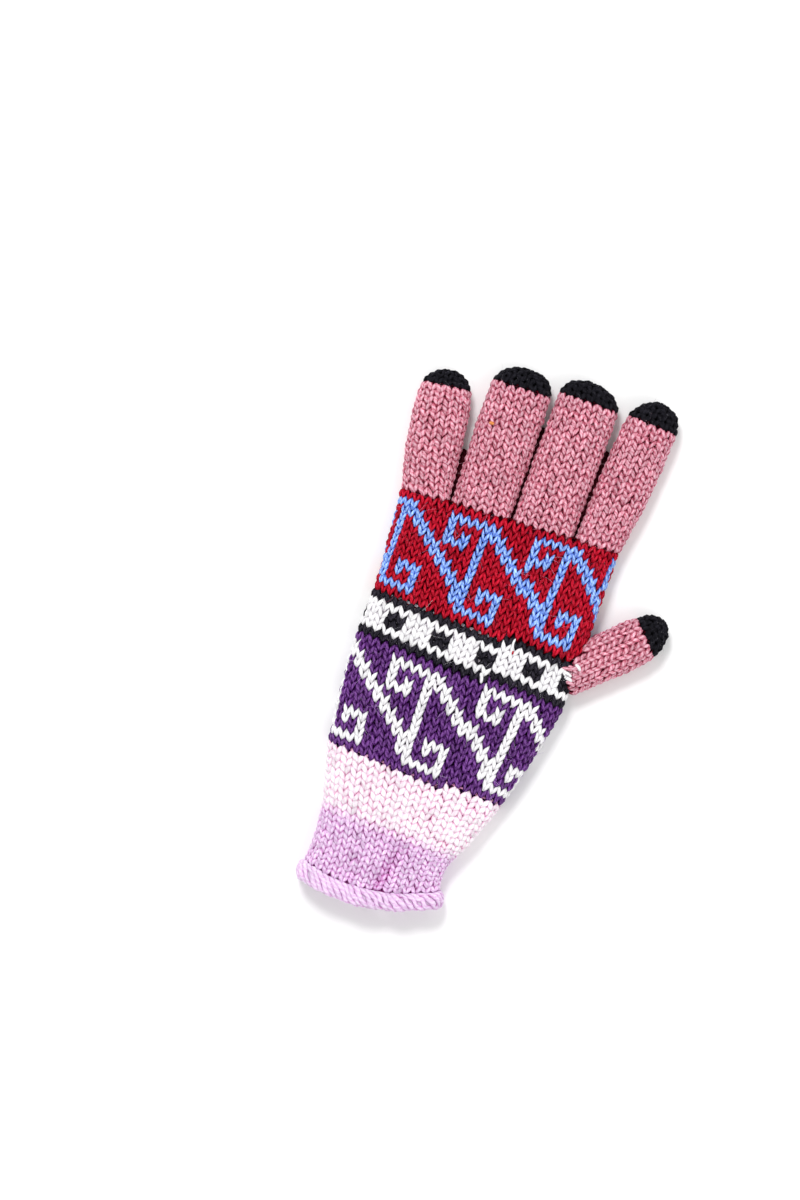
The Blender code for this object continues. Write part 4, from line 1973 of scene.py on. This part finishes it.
class StrayFibres(YarnWork):
    """Fine hairs that stand off the knitted surface.

    Args:
        roots: Where they may grow: point, outward direction and colour, one a row.
        size: Their sizes.
    """

    def __init__(self, roots: np.ndarray, size: FibreSize = FibreSize()) -> None:
        """Keeps the places and the sizes."""
        super().__init__("stray_fibres", "rose_knit")
        self.roots = roots
        self.size = size

    def grow(self) -> None:
        """Lays every hair."""
        size = self.size
        rng = np.random.default_rng(FIBRE_SEED)
        above = self.roots[self.roots[:, 5] > size.facing]
        picked = above[rng.integers(0, len(above), size.count)]
        walk = np.linspace(0, 1, size.steps)
        for row in picked:
            root, out, crest = row[:3], row[3:6], row[12:15]
            length = rng.uniform(size.shortest, size.longest)
            side = np.cross(out, rng.standard_normal(3))
            side /= np.linalg.norm(side)
            curl = np.cross(out, side)
            lift = rng.uniform(size.flattest, size.steepest)
            bend = rng.normal(0.0, size.bend)
            path = (
                root
                + out * size.start
                + side * (walk * length)[:, None]
                + out * (length * lift * np.sin(walk * math.pi * size.arch))[:, None]
                + curl * (length * bend * walk**2)[:, None]
            )
            if path[:, 2].min() < size.clear:
                continue
            radius = size.radius * (size.thick - size.thinning * walk)
            corners = sweep(path, np.tile(out, (size.steps, 1)), radius, radius, size.sides, False)
            # A fibre takes the painted highlight colour of the stitch at its root
            rows = colour_rows(np.tile(crest, 3), 1.0, size.steps)
            self.parts.add_tube(corners, rows, walk * length, False)


@dataclass(frozen=True)
class LooseEnd:
    """A short end of yarn that lies on the knitting.

    Args:
        yarn: Its yarn.
        x: Where it starts, across the glove in metres.
        y: Where it starts, along the glove in metres.
        heading: Its direction in degrees, from the fingers towards the thumb.
        length: Its length in metres.
        radius: Its radius in metres.
        bend: How far its middle strays to its left, as a share of its length.
        lift: How high its middle stands, as a share of its length.
    """

    yarn: Yarn
    x: float
    y: float
    heading: float
    length: float
    radius: float
    bend: float = 0.08
    lift: float = 0.05


LOOSE_ENDS = (
    LooseEnd(Yarn.WHITE, 0.0179, 0.0118, 170.0, 0.0050, 0.00055, bend=-0.12),
    LooseEnd(Yarn.RED, 0.0188, 0.0066, 172.0, 0.0018, 0.0004),
    LooseEnd(Yarn.WHITE, 0.0092, -0.0080, 158.0, 0.0046, 0.0008),
    LooseEnd(Yarn.WHITE, 0.0470, 0.0112, 122.0, 0.0036, 0.0009),
    LooseEnd(Yarn.WHITE, 0.0430, 0.0062, 100.0, 0.0044, 0.0008),
    LooseEnd(Yarn.WHITE, 0.0442, 0.0040, 96.0, 0.0042, 0.0009),
    LooseEnd(Yarn.ROSE, 0.0418, 0.0074, 82.0, 0.0048, 0.0008),
    LooseEnd(Yarn.ROSE, 0.0441, 0.0094, 108.0, 0.0050, 0.0010),
    LooseEnd(Yarn.ROSE, 0.0448, 0.0080, 64.0, 0.0046, 0.0009),
    LooseEnd(Yarn.ROSE, 0.0458, 0.0026, 98.0, 0.0044, 0.0010),
    LooseEnd(Yarn.ORANGE, -0.0290, 0.0968, 84.0, 0.0022, 0.0008),
    LooseEnd(Yarn.WHITE, -0.0268, 0.0056, 24.0, 0.0112, 0.00005, bend=-0.05),
    LooseEnd(Yarn.BLUE, -0.0500, 0.0438, 160.0, 0.0052, 0.0003, bend=0.20, lift=0.2),
)


class LooseEnds(YarnWork):
    """The short ends and flecks that lie on the knitting.

    Args:
        roots: Places on top of the stitches: point, outward direction and colours, one a row.
        ends: The ends to lay.
    """

    STEPS = 9
    SIDES = 6
    RAISE = 0.0001
    FACING = 0.5
    NEAREST = 4
    SUNK = 0.5
    TAPER = 0.55

    def __init__(self, roots: np.ndarray, ends: Sequence[LooseEnd] = LOOSE_ENDS) -> None:
        """Keeps the tops of the stitches that look up, and the ends."""
        super().__init__("loose_ends", "white_black_knit")
        self.tops = roots[roots[:, 5] > self.FACING, :3]
        self.ends = ends

    def lay(self) -> None:
        """Lays every end on the stitches below it."""
        walk = np.linspace(0, 1, self.STEPS)
        arch = np.sin(walk * math.pi)[:, None]
        for end in self.ends:
            heading = math.radians(end.heading)
            ahead = np.array([math.sin(heading), math.cos(heading)])
            left = np.array([-ahead[1], ahead[0]])
            flat = np.array([end.x, end.y]) + ahead * (walk * end.length)[:, None]
            flat = flat + left * arch * end.bend * end.length
            away = np.linalg.norm(self.tops[None, :, :2] - flat[:, None, :], axis=2)
            nearest = np.argsort(away, axis=1)[:, : self.NEAREST]
            below = np.sort(self.tops[nearest, 2], axis=1)[:, -2]
            level = np.full(self.STEPS, below.mean()) + self.RAISE + end.radius * self.SUNK
            path = np.column_stack([flat, level + arch[:, 0] * end.lift * end.length])
            radius = end.radius * (1.0 - self.TAPER * (2 * walk - 1) ** 4)
            corners = sweep(path, np.tile(UP, (self.STEPS, 1)), radius, radius, self.SIDES, False)
            rows = colour_rows(end.yarn.value.columns(), 1.0, self.STEPS)
            self.parts.add_tube(corners, rows, walk * end.length, False)


def cuff_fade(points: np.ndarray, colours: np.ndarray) -> np.ndarray:
    """Fades the lilac yarn into the pale pink one above the cuff.

    Args:
        points: The middle of each stitch.
        colours: Their tint, gap and crest colours so far, in nine columns.

    Returns:
        The faded colours.
    """
    lilac, pale = Yarn.LILAC.value.columns(), Yarn.PALE_PINK.value.columns()
    share = np.clip((points[:, 1] - FADE_START) / FADE_LENGTH, 0.0, 1.0)[:, None]
    return colours * (lilac * (1 - share) + pale * share) / lilac


CUFF_CREASES = (
    Crease(0.0014, -0.1180, 0.0320, 0.0054, 0.0026, 0.0019),
    Crease(-0.0109, -0.1200, 0.0160, 0.0018, 0.0016, 0.0010),
)


@dataclass(frozen=True)
class FingerKnit:
    """How one finger is knit.

    Args:
        name: The finger's name in the CAD nodes.
        tube: The node of its tube.
        around: Stitches in a round.
        pitch: Height of a round in metres.
        steps: Cuts taken along its tube.
        root: How far its tube is run on inside the hand, in metres.
        tip_steps: Cuts taken along its tip.
        tip_yarn: The tip's yarn as it lies in the fabric.
    """

    name: str
    tube: str
    around: int
    pitch: float = 0.00314
    steps: int = 20
    root: float = 0.0
    tip_steps: int = 14
    tip_yarn: YarnSize = YarnSize(wide_share=0.50)


FINGERS = (
    FingerKnit("little", "little_finger", 14),
    FingerKnit("ring", "ring_finger", 16),
    FingerKnit("middle", "middle_finger", 16),
    FingerKnit("index", "index_finger", 14),
    FingerKnit("thumb", "thumb", 12, pitch=0.00306, steps=30, root=0.016),
)


class GloveFinger:
    """One finger: its tube and its dark tip.

    Args:
        knit: How it is knit.
        hidden: Tests which places of its tube lie inside the hand and are left out.
    """

    def __init__(self, knit: FingerKnit, hidden: Optional[Test] = None) -> None:
        """Reads the finger's two nodes and plans their bands."""
        self.knit = knit
        placement = self._placement()
        anchor = Anchor(None, False)
        self.form = TubeForm(knit.tube, placement, anchor, steps=knit.steps, root=knit.root)
        tip_form = TubeForm(knit.name + "_tip", placement, anchor, steps=knit.tip_steps, pole=True)
        gauge = Gauge(knit.around, max(int(round(self.form.length / knit.pitch)), 1))
        tip_gauge = Gauge(knit.around, max(int(round(tip_form.length / knit.pitch)), 2))
        rose, black = Yarn.ROSE, Yarn.TIP_BLACK
        name = knit.tube + "_knit"
        tip_name = knit.name + "_tip_knit"
        self.bands = [
            KnitBand(name, "rose_knit", self.form, gauge, plain(rose), rose, hidden=hidden),
            KnitBand(tip_name, "black_knit", tip_form, tip_gauge, plain(black), black, knit.tip_yarn),
        ]

    def _placement(self) -> Placement:
        """Finds the finger's own frame from the ring of fabric at its far end.

        Returns:
            The frame, with its origin in the middle of that ring.
        """
        points, triangles = joined_mesh(self.knit.tube)
        tip_points, _ = joined_mesh(self.knit.name + "_tip")
        normals = triangle_normals(points, triangles)
        guess = tip_points.mean(axis=0) - points.mean(axis=0)
        ring = unit(normals, FLATTEST) @ (guess / np.linalg.norm(guess)) > RIM_FACING
        towards = normals[ring].sum(axis=0)
        towards[2] = 0.0
        towards /= np.linalg.norm(towards)
        middle = points[np.unique(triangles[ring])].mean(axis=0)
        middle[2] = 0.0
        return Placement(tuple(middle), (float(towards[1]), float(-towards[0]), 0.0), tuple(towards))


@dataclass(frozen=True)
class GapShadeSize:
    """The dark strip that joins two neighbouring fingers low between them: painted shade for the shadow
    where they lie against each other.

    Args:
        height: How high their middle lies, in metres.
        low: How high they lie at their end, in metres.
        tall: Half their thickness, in metres.
        widest: The width between the fingers at which they end, in metres.
        longest: The longest one, as a share of the fingers' length.
        overlap: How far they reach in under the fingers' sides, in metres.
        narrowing: How much narrower they are at their end, as a share.
        near: How close to a place along the glove a finger's side is read, in metres.
        dark: Their lightness, as a share of the rose yarn's, darkened as painted shade.
        steps: Path points.
        sides: Corners of the cross-section.
    """

    height: float = 0.0056
    low: float = 0.0012
    tall: float = 0.0005
    widest: float = 0.0019
    longest: float = 0.72
    overlap: float = 0.0011
    narrowing: float = 0.5
    near: float = 0.0016
    dark: float = 0.30
    steps: int = 60
    sides: int = 10


class FingerGapShade(YarnWork):
    """A dark strip of painted shade low between neighbouring fingers, where those lie against each other.

    Args:
        forms: The fingers' tubes, from the little finger on.
        size: How the joins lie.
    """

    FEWEST = 3

    def __init__(self, forms: Sequence[TubeForm], size: GapShadeSize = GapShadeSize()) -> None:
        """Takes the fingers' outsides."""
        super().__init__("finger_gap_shade", "rose_knit")
        self.surfaces = [form.placement.to_part(form.grid.reshape(-1, 3)) for form in forms]
        self.size = size

    def join(self) -> None:
        """Lays a strip of painted shade in every gap."""
        size = self.size
        # Painted shade: the rose yarn's colours darkened for the shadow between touching fingers
        dark = Yarn.ROSE.value.columns() * size.dark
        for left, right in zip(self.surfaces[:-1], self.surfaces[1:]):
            start = max(left[:, 1].min(), right[:, 1].min())
            end = min(left[:, 1].max(), right[:, 1].max())
            levels = np.linspace(start, end, size.steps)
            sides = np.array([self._sides(left, right, level) for level in levels])
            open_at = np.flatnonzero(sides[:, 1] - sides[:, 0] > size.widest)
            count = min(int(open_at[0]) if len(open_at) else size.steps, int(size.longest * size.steps))
            if count < self.FEWEST:
                continue
            sides, levels = sides[:count], levels[:count]
            fall = np.clip(np.linspace(-2.0, 1.0, count), 0.0, 1.0) ** 2
            heights = size.height + (size.low - size.height) * fall
            path = np.column_stack([sides.mean(axis=1), levels, heights])
            wide = ((sides[:, 1] - sides[:, 0]) / 2 + size.overlap) * (1 - size.narrowing * fall)
            tall = np.full(count, size.tall)
            corners = sweep(path, np.tile(UP, (count, 1)), wide, tall, size.sides, False)
            self.parts.add_tube(corners, colour_rows(dark, 0.0, count), levels - start, False)

    def _sides(self, left: np.ndarray, right: np.ndarray, level: float) -> tuple[float, float]:
        """Finds where the gap's two sides lie.

        Args:
            left: Points of the finger on the gap's left.
            right: Points of that on its right.
            level: Where along the glove, in metres.

        Returns:
            The sides' places across, in metres.
        """
        near_left = np.abs(left[:, 1] - level) < self.size.near
        near_right = np.abs(right[:, 1] - level) < self.size.near
        return left[near_left, 0].max(), right[near_right, 0].min()


class Finishes:
    """The finishes of the glove's yarns, made once."""

    def __init__(self) -> None:
        """Makes the materials."""
        strands = ShaderKit().strands()
        # The sheet behind the stitches: the fabric's back, coloured with painted shade
        lining = YarnFinish(
            "fabric_back_and_shade", plies=1.0, twist=0.004, round_share=0.0, inside=1.0, scatter=0.6
        )
        roll = YarnFinish("roll_yarn", relief=0.12, round_share=0.34)
        hair = YarnFinish("stray_fibre", relief=0.05, round_share=0.0, bump=0.0, sheen=0.3)
        self.soft = YarnFinish("soft_yarn").build(strands)
        self.back = lining.build(strands)
        self.roll = roll.build(strands)
        self.hair = hair.build(strands)


@dataclass(frozen=True)
class HandSize:
    """How the hand's bands are knit.

    Args:
        jog_x: Where their rounds start, across the glove in metres.
        overlap: How deep inside thumb or hand a place is left out, in metres.
        cuff_around: Stitches around the cuff and the wrist.
        hand_around: Stitches around the hand.
        upper_around: Stitches around it above the thumb.
        soft: The cuff's yarn as it lies in the fabric.
    """

    jog_x: float = 0.0130
    overlap: float = 0.0014
    cuff_around: int = 34
    hand_around: int = 50
    upper_around: int = 60
    soft: YarnSize = YarnSize(wide_share=0.46, back=1.85)


class Glove:
    """The whole knitted glove, built from the mouth to the fingertips.

    Args:
        finishes: The finishes of its yarns.
        size: How the hand's bands are knit.
    """

    WHOLE_HAND = Placement()
    MIDDLE_CUTS = 20
    CUTS = {"cuff": 20, "wrist_band": 14, "lower_fret_band": 26, "dotted_band": 14, "upper_fret_band": 26}

    def __init__(self, finishes: Finishes, size: HandSize = HandSize()) -> None:
        """Reads the CAD nodes."""
        self.finishes = finishes
        self.size = size
        self.cuff = self._form("cuff")
        self.wrist = self._form("wrist_band")
        self.lower = self._form("lower_fret_band")
        middles = self._middles()
        self.dotted = self._form("dotted_band", middles)
        self.upper = self._form("upper_fret_band", middles)
        self.fingers = [GloveFinger(knit, self.in_hand if knit.root > 0 else None) for knit in FINGERS]
        self.thumb = self.fingers[-1]

    def _form(self, node: str, middles: Optional[np.ndarray] = None) -> TubeForm:
        """Reads one tube of the hand.

        Args:
            node: Its node.
            middles: The y and x of whole rounds near by.

        Returns:
            Its outside.
        """
        anchor = Anchor(self.size.jog_x, True)
        return TubeForm(node, self.WHOLE_HAND, anchor, steps=self.CUTS[node], middles=middles)

    def _middles(self) -> np.ndarray:
        """Collects the middles of the hand's whole rounds, on both sides of the thumb's hole.

        Returns:
            The y and x of each.
        """
        found = [self.lower.middles]
        for node in ("dotted_band", "upper_fret_band"):
            found.append(whole_middles(cut_rounds(*joined_mesh(node), self.MIDDLE_CUTS)))
        return np.concatenate(found)

    def in_thumb(self, points: np.ndarray) -> np.ndarray:
        """Tests which places of the hand lie inside the thumb.

        Args:
            points: Points of the part.

        Returns:
            True for each inside.
        """
        return self.thumb.form.holds(points, self.size.overlap)

    def in_hand(self, points: np.ndarray) -> np.ndarray:
        """Tests which places of the thumb lie inside the hand.

        Args:
            points: Points of the part.

        Returns:
            True for each inside.
        """
        forms = (self.lower, self.dotted, self.upper)
        return np.any([form.holds(points, self.size.overlap) for form in forms], axis=0)

    def _hand_bands(self) -> list[KnitBand]:
        """Plans the bands of the hand, from the cuff to the fingers.

        Returns:
            The bands.
        """
        size, spiral = self.size, Flow.SPIRAL
        lilac, purple, white, red = Yarn.LILAC, Yarn.PURPLE, Yarn.WHITE, Yarn.RED
        cuff_gauge = Gauge(size.cuff_around, rounds=10, flow=spiral, flat_start=2.0)
        wrist_gauge = Gauge(size.cuff_around, rounds=8, flow=spiral, stop=HEEL_STRAY)
        lower_gauge = Gauge(size.hand_around, rounds=14, flow=spiral, start=HEEL_STRAY)
        dotted_gauge = Gauge(size.hand_around, rounds=6, flow=spiral)
        upper_gauge = Gauge(size.upper_around, rounds=14, flow=spiral, flat_end=3.0, drift=0.7)
        return [
            KnitBand(
                "cuff_knit", "lilac_knit", self.cuff, cuff_gauge, plain(lilac), lilac,
                yarn=size.soft, fade=cuff_fade, creases=CUFF_CREASES,
            ),
            KnitBand(
                "wrist_knit", "pale_pink_knit", self.wrist, wrist_gauge, plain(lilac), lilac,
                yarn=size.soft, fade=cuff_fade,
            ),
            KnitBand(
                "lower_fret_knit", "purple_white_knit", self.lower, lower_gauge,
                fret_chart(purple, white, offset=9), purple,
            ),
            KnitBand(
                "dotted_knit", "white_black_knit", self.dotted, dotted_gauge, dotted_chart, white,
                hidden=self.in_thumb,
            ),
            KnitBand(
                "upper_fret_knit", "red_blue_knit", self.upper, upper_gauge,
                fret_chart(red, Yarn.BLUE, offset=10), red, hidden=self.in_thumb,
            ),
        ]

    def build(self) -> np.ndarray:
        """Winds the rolled edge and knits every band and finger.

        Returns:
            Where stray fibres may grow.
        """
        finishes = self.finishes
        roll = RolledEdge(self.cuff)
        roll.knit()
        roll.finish((finishes.roll, finishes.back))
        bands = self._hand_bands() + [band for finger in self.fingers for band in finger.bands]
        for band in bands:
            band.knit()
            band.finish((finishes.soft, finishes.back))
        return np.concatenate([root for band in bands for root in band.roots])


def main() -> None:
    """Builds the glove, its stray fibres and the studio."""
    logging.basicConfig(level=logging.INFO, format="%(message)s")
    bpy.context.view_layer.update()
    finishes = Finishes()
    glove = Glove(finishes)
    roots = glove.build()
    fibres = StrayFibres(roots)
    fibres.grow()
    fibres.finish((finishes.hair,))
    ends = LooseEnds(roots)
    ends.lay()
    ends.finish((finishes.soft,))
    # A dark strip of painted shade low in each gap between touching fingers
    joins = FingerGapShade([finger.form for finger in glove.fingers[:-1]])
    joins.join()
    joins.finish((finishes.soft,))
    Studio().build()


if __name__ == "__main__":
    main()
